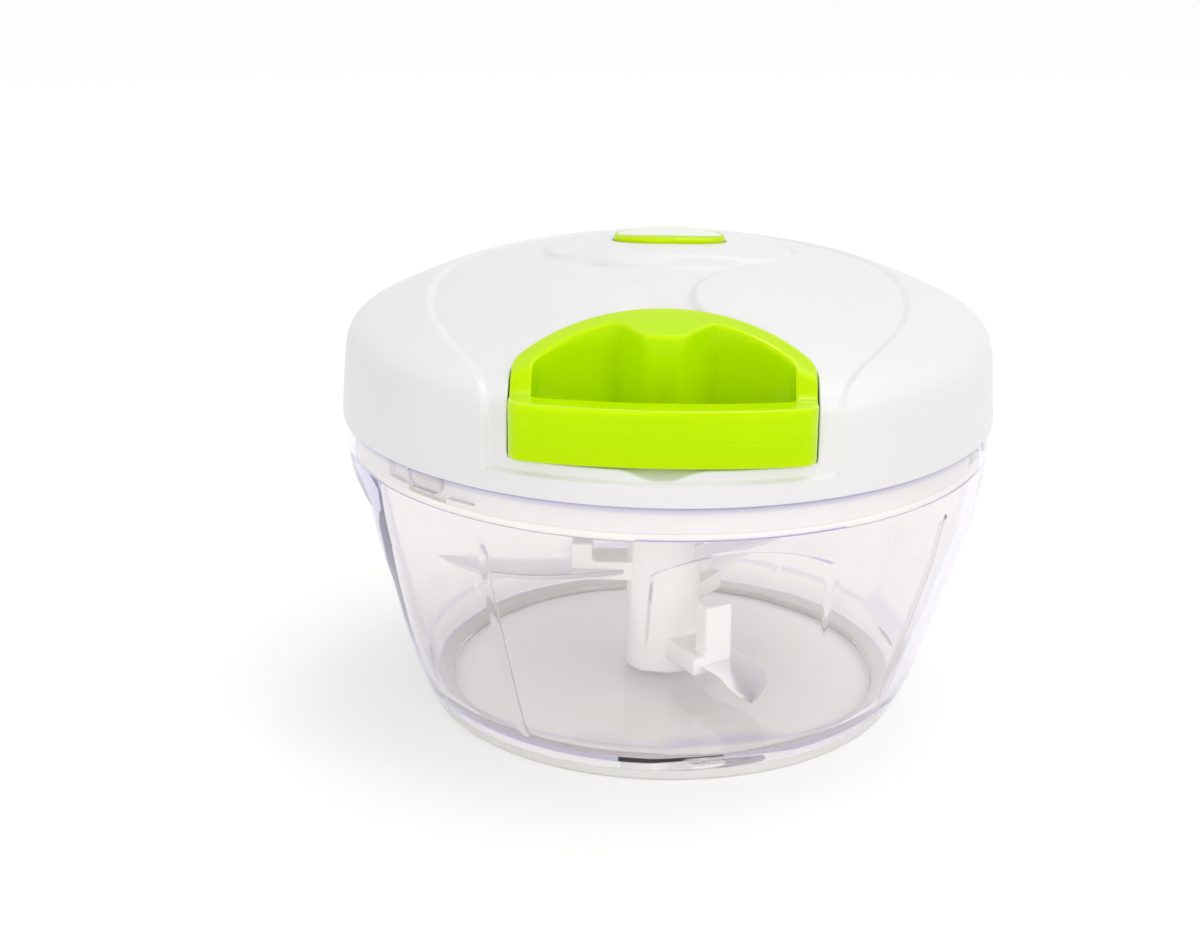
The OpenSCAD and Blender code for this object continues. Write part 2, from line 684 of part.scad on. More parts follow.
module handle() {
    color([0.72, 0.9, 0.02]) difference() {
        union() {
            difference() {
                intersection() {
                    grip(past);
                    lid_solid(-grip_proud);
                }
                bar_side();
            }
            intersection() {
                grip(bar_h);
                bar_side();
            }
        }
        translate([0, 0, grip_z - over]) linear_extrude(past) polygon(dee(grip_hw - rim_w, grip_back + rim_w,
            grip_curve - rim_w, grip_front - bar_t, hole_back_corner, hole_front_corner, boss_d));
        translate([0, -knot_y, grip_z - over]) cylinder(r = knot_hole_r, h = cord_z + knot_roof - grip_z + over);
        rotate([90, 0, 0]) translate([0, cord_z, grip_back - over]) cylinder(r = cord_r + fit, h = knot_y - grip_back + over);
    }
}

module drive_dog() {
    // Two sprung arms catch the drum's ratchet teeth
    color([0.85, 0.87, 0.9]) translate([0, 0, dog_z]) difference() {
        union() {
            cylinder(r = dog_r, h = dog_h);
            for (a = [0, 180]) rotate([0, 0, a]) linear_extrude(dog_h)
                polygon([for (q = [[-0.4, 1.5], [-0.65, 6], [-1.8, 20], [-3, 38], [-4.9, 54], [-4.9, 30],
                    [-3.2, 16], [-1.8, 6], [-1.4, 1.5]]) polar(dog_cave_r + q[0], q[1])]);
        }
        translate([0, 0, -over]) cylinder(r = shaft_r + seat, h = dog_h + 2 * over, $fn = 6);
    }
}

module drive_shaft() {
    color([0.93, 0.93, 0.92]) difference() {
        union() {
            translate([0, 0, socket_z]) cylinder(r = socket_r, h = socket_top - socket_z);
            translate([0, 0, socket_z]) cylinder(r = shaft_r, h = clip_z - socket_z);
            translate([0, 0, socket_z]) cylinder(r = shaft_r - clip_groove, h = clip_z + 2 * clip_t - socket_z);
            translate([0, 0, clip_z + clip_t + 2 * seat]) cylinder(r = shaft_r, h = shaft_top - clip_z - clip_t - 2 * seat);
            translate([0, 0, shaft_top]) cylinder(r = shaft_r, h = dog_h, $fn = 6);
        }
        translate([0, 0, bore_z]) cylinder(r = shaft_bore, h = past);
        translate([0, 0, socket_z - over]) cylinder(d = (hex_af + hex_gap) / cos(30), h = stub_top + fit - socket_z + over,
            $fn = 6);
    }
}

module shaft_bush() {
    color([0.75, 0.7, 0.55]) translate([0, 0, bush_z]) difference() {
        cylinder(r = bush_r, h = bush_h);
        translate([0, 0, -over]) cylinder(r = shaft_r + run_gap, h = bush_h + 2 * over);
    }
}

module thrust_washer() {
    color("silver") translate([0, 0, bush_z + bush_h + seat]) difference() {
        cylinder(r = bush_r, h = washer_t);
        translate([0, 0, -over]) cylinder(r = shaft_r + run_gap, h = washer_t + 2 * over);
    }
}

module shaft_clip() {
    color("silver") translate([0, 0, clip_z + seat]) difference() {
        cylinder(r = shaft_r + clip_out, h = clip_t);
        translate([0, 0, -over]) cylinder(r = shaft_r - clip_groove + seat, h = clip_t + 2 * over);
        translate([0, -shaft_r / 2, -over]) cube([past, shaft_r, clip_t + 2 * over]);
    }
}

// Plan outline of a sickle blade that points along -Y, with its tip at distance r
function sickle(r) =
    let (line = [for (e = [back_edge, cutting_edge]) smooth([for (q = e) [q[0], -q[1] * r]], 6)])
    concat(line[0], [for (i = [1 : len(line[1]) - 1]) line[1][i]]);

// Blade i, or with g the slot that holds it in the hub
module blade(i, g = 0) {
    turn(blade_az[i]) translate([0, 0, blade_z[i] - blade_t / 2 - g]) linear_extrude(blade_t + 2 * g) difference() {
        polygon(sickle(reach[i]));
        circle(eye_r);
    }
}

// A plastic arm grips the blade's root and ends in a small upright post
module arm(i) {
    turn(blade_az[i]) translate([0, -arm_r, blade_z[i]]) {
        translate([-arm_w[0], 0, -arm_h / 2]) cube([arm_w[0] + arm_w[1], arm_r, arm_h]);
        translate([arm_w[1] - post_w[0], 0, 0]) cube([post_w[0], post_w[1], post_h[i]]);
    }
}

module blade_hub() {
    color([0.95, 0.95, 0.94]) difference() {
        union() {
            translate([0, 0, hub_z]) cylinder(r = hub_r, h = hub_top - hub_z);
            translate([0, 0, hub_z]) cylinder(d = hex_af / cos(30), h = stub_top - hub_z, $fn = 6);
            for (i = [0 : 2]) arm(i);
        }
        for (i = [0 : 2]) blade(i, seat);
        translate([0, 0, hub_z - over]) cylinder(r = collar_r + fit, h = floor_z + collar_h + fit - hub_z + over);
        translate([0, 0, hub_z - over]) cylinder(r = pin_r + run_gap, h = pin_top + 2 * fit - hub_z + over);
    }
}

module lower_blade() color([0.8, 0.82, 0.84]) blade(1);
module middle_blade() color([0.8, 0.82, 0.84]) blade(2);
module upper_blade() color([0.8, 0.82, 0.84]) blade(0);

bowl();
base_ring();
centre_pin();
seal_ring();
lid();
lid_cover();
cover_screws();
top_cap();
cap_insert();
cord_guide();
spindle();
spindle_washer();
spindle_screw();
mainspring();
spring_cover();
reel();
wound_cord();
cord_lead();
pull_cord();
cord_knot();
handle();
drive_dog();
drive_shaft();
shaft_bush();
thrust_washer();
shaft_clip();
blade_hub();
lower_blade();
middle_blade();
upper_blade();
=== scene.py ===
import math

import bmesh
import bpy
import numpy as np
from mathutils import Matrix, Vector
from mathutils.geometry import delaunay_2d_cdt


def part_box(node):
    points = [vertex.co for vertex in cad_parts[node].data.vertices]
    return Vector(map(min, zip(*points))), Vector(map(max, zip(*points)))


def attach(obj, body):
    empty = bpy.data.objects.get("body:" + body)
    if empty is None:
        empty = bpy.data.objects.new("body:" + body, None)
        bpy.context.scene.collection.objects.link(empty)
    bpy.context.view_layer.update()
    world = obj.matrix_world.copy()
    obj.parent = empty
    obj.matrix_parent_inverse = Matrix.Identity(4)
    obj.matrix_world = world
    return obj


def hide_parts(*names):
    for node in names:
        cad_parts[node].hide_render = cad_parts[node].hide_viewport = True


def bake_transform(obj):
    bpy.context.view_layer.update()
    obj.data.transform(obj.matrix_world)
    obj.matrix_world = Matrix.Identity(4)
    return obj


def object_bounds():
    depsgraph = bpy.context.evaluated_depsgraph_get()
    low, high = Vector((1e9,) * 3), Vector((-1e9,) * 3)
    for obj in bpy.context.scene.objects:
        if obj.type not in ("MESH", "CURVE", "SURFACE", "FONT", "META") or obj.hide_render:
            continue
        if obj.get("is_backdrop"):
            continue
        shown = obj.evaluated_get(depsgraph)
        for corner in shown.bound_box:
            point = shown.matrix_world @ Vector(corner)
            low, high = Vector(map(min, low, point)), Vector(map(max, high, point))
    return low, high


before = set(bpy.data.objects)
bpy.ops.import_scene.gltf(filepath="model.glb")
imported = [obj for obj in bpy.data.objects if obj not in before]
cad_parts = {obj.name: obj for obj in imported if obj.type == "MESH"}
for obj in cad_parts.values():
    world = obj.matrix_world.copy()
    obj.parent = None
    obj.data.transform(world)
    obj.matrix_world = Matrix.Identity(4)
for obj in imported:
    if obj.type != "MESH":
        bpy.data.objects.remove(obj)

# ---- Studio -------------------------------------------------------------------------------
# A white table that runs out of sight in an even white room. A high window gives the shadow,
# two softboxes the broad shine and three small spots the glints. The camera looks down at the
# handle side from arm's length.

MM = 0.001
cad_bounds = [list(corner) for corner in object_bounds()]
scene = bpy.context.scene
scene.view_settings.view_transform = "Standard"


def linear(colour):
    """A colour written as sRGB hex, as linear RGBA."""
    parts = [int(colour[i:i + 2], 16) / 255 for i in (0, 2, 4)]
    return (*[p / 12.92 if p <= 0.04045 else ((p + 0.055) / 1.055) ** 2.4 for p in parts], 1.0)


def add(tree, kind, inputs=(), **settings):
    """Adds a node. Each input is a value, a hex colour, or the socket or node that feeds it."""
    node = tree.nodes.new(kind if kind.startswith(("Geometry", "Node")) else "ShaderNode" + kind)
    for name, value in settings.items():
        setattr(node, name, value)
    for name, value in dict(inputs).items():
        if isinstance(value, bpy.types.Node):
            value = value.outputs[0]
        if isinstance(value, str):
            value = linear(value)
        if isinstance(value, bpy.types.NodeSocket):
            tree.links.new(value, node.inputs[name])
        else:
            node.inputs[name].default_value = value
    return node


def new_material(name):
    """An empty material and its tree."""
    material = bpy.data.materials.new(name)
    material.use_nodes = True
    material.node_tree.nodes.clear()
    return material, material.node_tree


def seen_ray(tree):
    """1 for what the camera sees, straight on, in a reflection or through clear plastic."""
    ray = add(tree, "LightPath").outputs
    seen = ray["Is Camera Ray"]
    for kind in ("Is Glossy Ray", "Is Transmission Ray"):
        seen = add(tree, "Math", {0: seen, 1: ray[kind]}, operation="MAXIMUM")
    return seen


# White laminate: the sheet's own shade, lifted a little where it is seen, so that it fades into
# the white room and keeps its shadow.
table_material, tree = new_material("white_laminate")
grain = add(tree, "TexNoise", {"Scale": 900.0, "Detail": 2.0})
bump = add(tree, "Bump", {"Height": grain, "Strength": 0.02, "Distance": 0.0001})
sheet = add(tree, "BsdfDiffuse", {"Color": "ECEBEA", "Normal": bump})
lift_level = add(tree, "Math", {0: seen_ray(tree), 1: 0.31}, operation="MULTIPLY")
lift = add(tree, "Emission", {"Color": "FFFFFF", "Strength": lift_level})
both = add(tree, "AddShader", {0: sheet, 1: lift})
add(tree, "OutputMaterial", {"Surface": both})


def put(name, data):
    """An object at the origin of the scene."""
    made = bpy.data.objects.new(name, data)
    scene.collection.objects.link(made)
    return made


table = bpy.data.meshes.new("table")
reach = 30.0
corners = [(x * reach, y * reach, 0) for x, y in ((-1, -1), (1, -1), (1, 1), (-1, 1))]
table.from_pydata(corners, [], [(0, 1, 2, 3)])
table.materials.append(table_material)
put("table_top", table)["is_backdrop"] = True

room = bpy.data.worlds.new("white_room")
room.use_nodes = True
room.node_tree.nodes.clear()
tree = room.node_tree
plain_light = add(tree, "Background", {"Color": "FFFFFF", "Strength": 0.58})
white_wall = add(tree, "Background", {"Color": "FFFFFF", "Strength": 1.0})
either = add(tree, "MixShader", {0: seen_ray(tree), 1: plain_light, 2: white_wall})
add(tree, "OutputWorld", {"Surface": either})
scene.world = room

window_light = bpy.data.lights.new("high_window", "SUN")
window_light.energy, window_light.angle = 0.7, math.radians(45)
window = put("high_window", window_light)
window.rotation_euler = Vector((-0.26, -0.14, -1.0)).to_track_quat("-Z", "Y").to_euler()

for lamp_name, place, size, power in (("right_softbox", (0.75, -0.45, 0.5), 0.45, 1.3),
                                      ("front_softbox", (-0.25, -0.95, 0.3), 0.7, 2.2),
                                      ("top_spot", (0.1, 0.25, 0.9), 0.065, 0.2),
                                      ("left_spot", (-0.5, -0.2, 0.8), 0.065, 0.2),
                                      ("right_spot", (0.5, -0.3, 0.8), 0.065, 0.2)):
    lamp = bpy.data.lights.new(lamp_name, "AREA")
    lamp.shape, lamp.size, lamp.energy = "DISK", size, power
    lamp_object = put(lamp_name, lamp)
    lamp_object.location = place
    aim = Vector((0, 0, 0.05)) - lamp_object.location
    lamp_object.rotation_euler = aim.to_track_quat("-Z", "Y").to_euler()

camera = bpy.data.cameras.new("camera")
camera.lens, camera.sensor_width = 56.4, 36.0
camera.clip_start, camera.clip_end = 0.01, 100.0
scene.camera = put("camera", camera)
scene.camera.matrix_world = Matrix.Translation((3.86 * MM, -366.2 * MM, 169.7 * MM))
camera_turn, camera_down, camera_roll = 2.7, 18.68, 0.31
for angle, axis in ((camera_turn, "Z"), (90 - camera_down, "X"), (camera_roll, "Z")):
    scene.camera.matrix_world @= Matrix.Rotation(math.radians(angle), 4, axis)

# ---- Bowl ---------------------------------------------------------------------------------
# One clear SAN injection moulding: a conical wall with four finger flats, thin ribs inside, a
# ledge and band for the lid, and a floor with a collar round the centre pin.


def spline(points, n):
    """A smooth line through points, n steps from each to the next."""
    p = np.array([points[0], *points, points[-1]], float)
    line = []
    for a, b, c, d in zip(p, p[1:], p[2:], p[3:]):
        for k in range(n):
            t = k / n
            line.append(0.5 * (2 * b + (c - a) * t + (2 * a - 5 * b + 4 * c - d) * t ** 2
                               + (3 * b - a - 3 * c + d) * t ** 3))
    return np.array([*line, p[-1]])


def unit(ways):
    """The same directions, each of length 1."""
    return ways / np.linalg.norm(ways, axis=1)[:, None]


def along(line):
    """How far along a line each of its points lies."""
    return np.concatenate([[0], np.cumsum(np.linalg.norm(np.diff(line, axis=0), axis=1))])


def between_points(at, known, line):
    """Points of a line at these places, where known gives the places of its own points."""
    return np.stack([np.interp(at, known, column) for column in line.T], 1)


def even(line, step):
    """The same line with points a step apart."""
    line = np.asarray(line, float)
    run = along(line)
    return between_points(np.linspace(0, run[-1], max(3, round(run[-1] / step) + 1)), run, line)


def blurred(line, half, step, spread):
    """A line averaged with its neighbours, half of them on each side, under a bell curve."""
    weight = np.exp(-0.5 * (np.arange(-half, half + 1) * step / spread) ** 2)
    weight /= weight.sum()
    return np.stack([np.convolve(column, weight, "valid") for column in line.T], 1)


def soften(line, radius, step=0.08):
    """Rounds a line's corners, as a mould's edges are. The ends stay where they are."""
    line = even(line, step)
    half = min(int(1.8 * radius / step) + 1, len(line) - 1)
    long = np.concatenate([2 * line[0] - line[half:0:-1], line, 2 * line[-1] - line[-2:-half - 2:-1]])
    return blurred(long, half, step, 0.6 * radius)


def pick(line, far, turn, count=None):
    """Fewer points: at most far apart, and at most turn degrees round a bend. Or just as many as count."""
    step = np.diff(line, axis=0)
    length = np.maximum(np.linalg.norm(step, axis=1), 1e-9)
    way = step / length[:, None]
    bend = np.degrees(np.arccos(np.clip((way[1:] * way[:-1]).sum(1), -1, 1)))
    cost = np.concatenate([[0], np.cumsum(length / far + np.concatenate([[0], bend]) / turn)])
    n = count - 1 if count else math.ceil(cost[-1])
    at = np.interp(np.linspace(0, cost[-1], n + 1), cost, np.arange(len(cost)))
    return between_points(at, np.arange(len(line)), line)


def ease(x):
    """0 to 1, with a soft start and end, as x goes from -0.5 to 0.5."""
    t = np.clip(np.asarray(x, float) + 0.5, 0, 1)
    return t * t * (3 - 2 * t)


def skin(rings, wrap=False):
    """Points and faces between neighbouring rings of points. A ring of one point is a pole."""
    rings = [np.atleast_2d(r) for r in rings]
    first = np.cumsum([0] + [len(r) for r in rings])
    faces = []
    for i in range(len(rings) if wrap else len(rings) - 1):
        j = (i + 1) % len(rings)
        a, b, n, m = int(first[i]), int(first[j]), len(rings[i]), len(rings[j])
        around = [(k, (k + 1) % max(n, m)) for k in range(max(n, m))]
        if n == 1:
            faces += [(a, b + q, b + p) for p, q in around]
        elif m == 1:
            faces += [(a + p, a + q, b) for p, q in around]
        else:
            faces += [(a + p, a + q, b + q, b + p) for p, q in around]
    return np.concatenate(rings), faces


def riding(name, mesh, body):
    """A finished mesh as an object that rides on a body."""
    made = put(name, mesh)
    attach(made, body)
    return made


def smooth_mesh(name, points, faces, material):
    """A smooth-shaded mesh from points in millimetres."""
    mesh = bpy.data.meshes.new(name)
    mesh.from_pydata((np.asarray(points) * MM).tolist(), [], faces)
    mesh.polygons.foreach_set("use_smooth", [True] * len(mesh.polygons))
    mesh.materials.append(material)
    return mesh


def make(name, points, faces, material, body, slot):
    """A smooth-shaded piece from points in millimetres, riding on a body."""
    return riding(name, smooth_mesh(name, points, faces, material), body)


def ring(r, z, angles):
    """Points at radius r and height z, at angles counted from the handle side towards +X."""
    r, z = np.broadcast_to(r, angles.shape), np.broadcast_to(z, angles.shape)
    return np.stack([r * np.sin(angles), -r * np.cos(angles), z], 1)


bowl_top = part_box("bowl")[1].z / MM
band_r, ledge_z, floor_z = 62.8, bowl_top - 6.9, 3.0
outer_wall = spline([(49.6, 2.5), (50.2, 3.2), (51.3, 5), (53.2, 10), (56.4, 20), (59.4, 30), (62.3, 40),
                     (63.8, 48), (64.3, ledge_z), (64.6, bowl_top)], 8)
inner_wall = np.array([(r - 2.5, z) for r, z in outer_wall if 8 < z < ledge_z])
flat_line = np.array([(46.4, 0), (48.1, 2.9), (49.8, 5.6), (52.5, 11), (55.3, 21), (57.5, 31), (59.4, 41),
                      (61.2, 52)])
flat_mid = math.radians(13.7)
flat_arch, flat_rise = 51.5, 4.0
rib_top = 47.5

half_x = np.array([*np.arange(0, 15, 1.3), 15.3, 15.9, 16.2, 16.4, 16.6, 16.8, 17.2, 17.8, 18.3, 18.6,
                   18.8, 19, 19.3, 20])
rib_x = np.array([2.4, 1.6, 1.2, 0.95, 0.8, 0.65, 0.4])


def bowl_angles(r):
    """Angles from a flat's middle, all round: close together at the flats' edges and the ribs."""
    r = max(r, 49)
    flat, rib = np.arcsin(half_x / r), math.pi / 4 - np.arcsin(rib_x / r)
    half = np.concatenate([flat, np.linspace(flat[-1], rib[0], 14)[1:-1], rib])
    return np.concatenate([[-math.pi / 4], -half[:0:-1], half])


def lower_of(a, b, blend):
    """The smaller of two radii, with a soft change from one to the other."""
    low = np.minimum(a, b)
    return low - blend * np.log(np.exp((low - a) / blend) + np.exp((low - b) / blend))


def bowl_ring(r, z, inside):
    """One ring of the bowl, with its flats and, on the inside, its ribs."""
    angle = bowl_angles(r)
    x = np.abs(r * np.sin(angle))
    half, arch_top, back = (18.8, 60.0, 2.3) if inside else (16.5, flat_arch, 0.0)
    on_wall = 3 < z < ledge_z + 0.2 and r > 48
    z = np.full(angle.shape, z)
    r = np.full(angle.shape, r)
    if on_wall:
        bow = (half ** 2 + flat_rise ** 2) / 2 / flat_rise
        arch = arch_top - bow + np.sqrt(bow ** 2 - np.minimum(x, half) ** 2)
        if not inside:
            near = np.where(z < flat_arch, (z - 42) / (flat_arch - 42), (57 - z) / (57 - flat_arch))
            z = z + np.clip(near, 0, 1) * (arch - arch_top) * np.clip((24 - x) / (24 - half), 0, 1)
            r = np.interp(z, outer_wall[:, 1], outer_wall[:, 0])
        flat = (np.interp(z, flat_line[:, 1], flat_line[:, 0]) - back) / np.cos(angle)
        cut = ease((half - x) / 0.6) * ease((arch - z) / 0.5) * ease((z - 5) / 3.5)
        r = r - (r - lower_of(r, flat, 0.15)) * cut
        if inside:
            from_rib = r * np.sin(math.pi / 4 - np.abs(angle))
            r = r - 1.0 * ease((0.75 - from_rib) / 0.5) * ease((rib_top - z) / 1.2) * ease((z - 5) / 3)
    return np.concatenate([ring(r, z, angle + flat_mid + k * math.pi / 2) for k in range(4)])


bowl_line = [(0, 0.8), (44.4, 0.8), (44.4, 2.5), *outer_wall, (band_r, bowl_top), (band_r, ledge_z),
             (61.8, ledge_z), *inner_wall[::-1], (49, 6.4), (46.5, 4.1), (43.2, floor_z), (4.2, floor_z),
             (4.2, 6), (2.52, 6), (2.52, 1.4), (0, 1.4)]
bowl_line = soften(bowl_line, 0.35)
top_at = bowl_line[:, 1].argmax()
outside = pick(bowl_line[:top_at], 1.3, 14)
within = pick(bowl_line[top_at:], 1.3, 14)
steps = np.array([49.9, 50.4, 50.8, 51.1, 51.3, 51.5, 51.7, 51.9, 52.2, 52.6])
wall = outside[:, 0] > 50
keep = ~(wall & (outside[:, 1] > 49.6) & (outside[:, 1] < 52.9))
arch_rows = np.stack([np.interp(steps, outer_wall[:, 1], outer_wall[:, 0]), steps], 1)
at = np.argmax(wall & (outside[:, 1] > 52.8))
outside = np.concatenate([outside[:at][keep[:at]], arch_rows, outside[at:]])
rings = [bowl_ring(r, z, False) for r, z in outside[1:]] + [bowl_ring(r, z, True) for r, z in within[:-1]]
points, faces = skin([(0, 0, 0.8), *rings, (0, 0, 1.4)])


def relief(tree, where, scale, detail, strength, depth, under=()):
    """A noise pattern and the bump that it makes, over another bump where one is given."""
    noise = add(tree, "TexNoise", {"Vector": where, "Scale": scale, "Detail": detail})
    return noise, add(tree, "Bump", {"Height": noise, "Strength": strength, "Distance": depth, **dict(under)})


# Clear SAN, polished in the mould: very smooth, with faint flow waves, and a mirror of the room
# that grows at a slant. Painted blue-violet shade lies along its marked edges, for the dark tint
# that a clear wall shows where light runs along it. Lamps shine through it onto what stands in the
# bowl, and light that has turned often inside the wall goes straight out.
clear_san, tree = new_material("clear_san")
where = add(tree, "TexCoord").outputs["Object"]
_, waves = relief(tree, where, 60.0, 1.5, 0.5, 0.0002)
fine = add(tree, "TexNoise", {"Vector": where, "Scale": 700.0, "Detail": 2.0})
matt = add(tree, "MapRange", {"Value": fine, "From Min": 0.3, "From Max": 0.8, "To Max": 0.035})
# Painted shade: where the edge share is high, the colour turns dark blue-violet.
painted_edge_shade = add(tree, "Attribute", attribute_name="edge")
shade = add(tree, "Mix", {"Factor": painted_edge_shade.outputs["Fac"], 6: "FBF9F6", 7: "9791D6"}, data_type="RGBA")
resin = add(tree, "BsdfPrincipled", {"Base Color": shade.outputs[2], "Roughness": matt, "IOR": 1.1,
                                     "Transmission Weight": 1.0, "Normal": waves})
shine = add(tree, "BsdfAnisotropic", {"Color": "F6F6FA", "Roughness": 0.04, "Normal": waves})
mirror = add(tree, "Fresnel", {"IOR": 1.57, "Normal": waves})
inside = add(tree, "NewGeometry").outputs["Backfacing"]
front = add(tree, "Math", {0: 1.0, 1: inside}, operation="SUBTRACT")
share = add(tree, "Math", {0: mirror, 1: front}, operation="MULTIPLY")
surface = add(tree, "MixShader", {0: share, 1: resin, 2: shine})
let_through = add(tree, "BsdfTransparent", {"Color": "F6F5F3"})
ray = add(tree, "LightPath").outputs
trapped = add(tree, "Math", {0: ray["Ray Depth"], 1: 5.5}, operation="GREATER_THAN")
leaves = add(tree, "Math", {0: ray["Is Shadow Ray"], 1: trapped}, operation="MAXIMUM")
shown = add(tree, "MixShader", {0: leaves, 1: surface, 2: let_through})
tint = add(tree, "VolumeAbsorption", {"Color": "A6A0E8", "Density": 15.0})
add(tree, "OutputMaterial", {"Surface": shown, "Volume": tint})


def mark(piece, name, shares):
    """Writes a share for each point of a piece, for its material to read."""
    marks = piece.data.attributes.new(name, "FLOAT", "POINT")
    marks.data.foreach_set("value", np.asarray(shares, np.float32))


clear_bowl = make("clear_bowl", points, faces, clear_san, "bowl", "clear_plastic")
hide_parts("bowl")
# Painted shade for the clear wall: the edge share is high on its level faces and brim and round the bottom
# corner, where the wall looks dark and violet.
level = np.abs([n.vector.z for n in clear_bowl.data.vertex_normals])
radius, height = np.linalg.norm(points[:, :2], axis=1), points[:, 2]
step = ease((level - 0.5) / 0.4) * (height > 8)
brim_shade = np.exp(-((height - bowl_top) / 0.4) ** 2)
base = 0.5 * np.exp(-(((radius - 48.2) / 1.1) ** 2 + ((height - 3.6) / 1.1) ** 2))
mark(clear_bowl, "edge", np.clip(np.maximum.reduce([step, brim_shade, base]), 0, 1))

# ---- Locking lugs -------------------------------------------------------------------------
# Three stadium-shaped lugs of the same moulding, inside the band. Each runs in a window of the
# lid's skirt and holds the lid down once it is turned.


def grow(name, tree, sizes, body):
    """Runs a Geometry Nodes tree with these sizes and keeps the result as a plain mesh."""
    seed = put(name + "_seed", bpy.data.meshes.new(name + "_seed"))
    modifier = seed.modifiers.new("grow", "NODES")
    modifier.node_group = tree
    for socket in tree.interface.items_tree:
        if socket.item_type == "SOCKET" and socket.in_out == "INPUT" and socket.name in sizes:
            modifier[socket.identifier] = sizes[socket.name]
    bpy.context.view_layer.update()
    grown = seed.evaluated_get(bpy.context.evaluated_depsgraph_get())
    mesh = bpy.data.meshes.new_from_object(grown)
    seed.modifiers.remove(modifier)
    bpy.data.objects.remove(seed)
    mesh.name = name
    return riding(name, mesh, body)


def new_tree(name, inputs):
    """An empty Geometry Nodes tree with named inputs, and its input node."""
    tree = bpy.data.node_groups.new(name, "GeometryNodeTree")
    for label, kind in inputs.items():
        tree.interface.new_socket(label, in_out="INPUT", socket_type="NodeSocket" + kind)
    tree.interface.new_socket("Geometry", in_out="OUTPUT", socket_type="NodeSocketGeometry")
    return tree, tree.nodes.new("NodeGroupInput")


def round_row(tree, source, count, radius, height, start):
    """Points on a circle about the Z axis, and the turn that faces each one outwards."""
    count, radius, height, start = (source.outputs[name] for name in (count, radius, height, start))
    circle = add(tree, "GeometryNodeMeshCircle", {"Vertices": count, "Radius": radius})
    share = add(tree, "Math", {0: add(tree, "GeometryNodeInputIndex"), 1: count}, operation="DIVIDE")
    around = add(tree, "Math", {0: share, 1: 2 * math.pi, 2: start}, operation="MULTIPLY_ADD")
    turn = add(tree, "CombineXYZ", {"Z": around})
    arm = add(tree, "CombineXYZ", {"X": radius, "Z": height})
    spot = add(tree, "VectorRotate", {"Vector": arm, "Rotation": turn},
               rotation_type="EULER_XYZ")
    placed = add(tree, "GeometryNodeSetPosition", {"Geometry": circle, "Position": spot})
    return placed, turn


def stadium(length, height, count):
    """A flat bar's outline with round ends, in the Y-Z plane."""
    a = np.linspace(-math.pi / 2, math.pi / 2, count)
    r, x = height / 2, (length - height) / 2
    right = np.stack([x + r * np.cos(a), r * np.sin(a)], 1)
    return np.concatenate([right, -right])


lug_length, lug_height, lug_depth, lug_z = 9.2, 3.7, 1.0, bowl_top - 2.1
lug_rings = []
for back, inset in ((0.7, 0), (0.25, 0), (0.08, 0.08), (0, 0.3)):
    outline = stadium(lug_length - 2 * inset, lug_height - 2 * inset, 14)
    depth = band_r - lug_depth + back * (lug_depth + 0.5) / 0.7
    lug_rings.append(np.stack([np.full(len(outline), depth), outline[:, 0], outline[:, 1]], 1))
points, faces = skin([lug_rings[0][0] * [1, 0, 0], *lug_rings, lug_rings[-1][0] * [1, 0, 0]])
lug_mesh = bpy.data.meshes.new("lug")
lug_mesh.from_pydata((points * MM).tolist(), [], [f[::-1] for f in faces])
lug_shape = bpy.data.objects.new("lug_shape", lug_mesh)

lug_tree, source = new_tree("lugs", {"Count": "Int", "Radius": "Float", "Height": "Float", "Start": "Float",
                                     "Shape": "Object", "Material": "Material"})
row, turn = round_row(lug_tree, source, "Count", "Radius", "Height", "Start")
shape = add(lug_tree, "GeometryNodeObjectInfo", {"Object": source.outputs["Shape"]})
moved = add(lug_tree, "VectorMath", {0: (-1, 0, 0), "Scale": source.outputs["Radius"]}, operation="SCALE")
centred = add(lug_tree, "GeometryNodeTransform", {"Geometry": shape.outputs["Geometry"],
                                                  "Translation": moved})
copies = add(lug_tree, "GeometryNodeInstanceOnPoints", {"Points": row, "Instance": centred,
                                                        "Rotation": turn})
real = add(lug_tree, "GeometryNodeRealizeInstances", {"Geometry": copies})
coated = add(lug_tree, "GeometryNodeSetMaterial", {"Geometry": real, "Material": source.outputs["Material"]})
add(lug_tree, "NodeGroupOutput", {"Geometry": coated})
lug_sizes = {"Count": 3, "Radius": band_r * MM, "Height": lug_z * MM, "Start": math.radians(-43 - 90),
             "Shape": lug_shape, "Material": clear_san}
locking_lugs = grow("locking_lugs", lug_tree, lug_sizes, "bowl")
# The lugs' rounded sides get the same painted edge shade.
mark(locking_lugs, "edge", np.tile(np.repeat([0, 0, 0.6, 0.8, 0, 0], [1, 28, 28, 28, 28, 1]), 3))

# ---- Foot ring ----------------------------------------------------------------------------
# A soft silicone ring pressed over the step under the bowl. It keeps the bowl from sliding.


def turned(name, line, radius, columns, material, body, slot, far=1.2, bend=14):
    """A solid of revolution about the Z axis. Its section starts and ends on the axis, or meets itself."""
    closed = line[0] == line[-1]
    line = pick(soften(line, radius, min(0.08, radius / 4)), far, bend)
    angles = np.linspace(0, 2 * math.pi, columns, endpoint=False)
    if closed:
        rings = [ring(r, z, angles) for r, z in line[:-1]]
    else:
        rings = [(0, 0, line[0][1]), *[ring(r, z, angles) for r, z in line[1:-1]], (0, 0, line[-1][1])]
    points, faces = skin(rings, wrap=closed)
    return make(name, points, faces, material, body, slot)


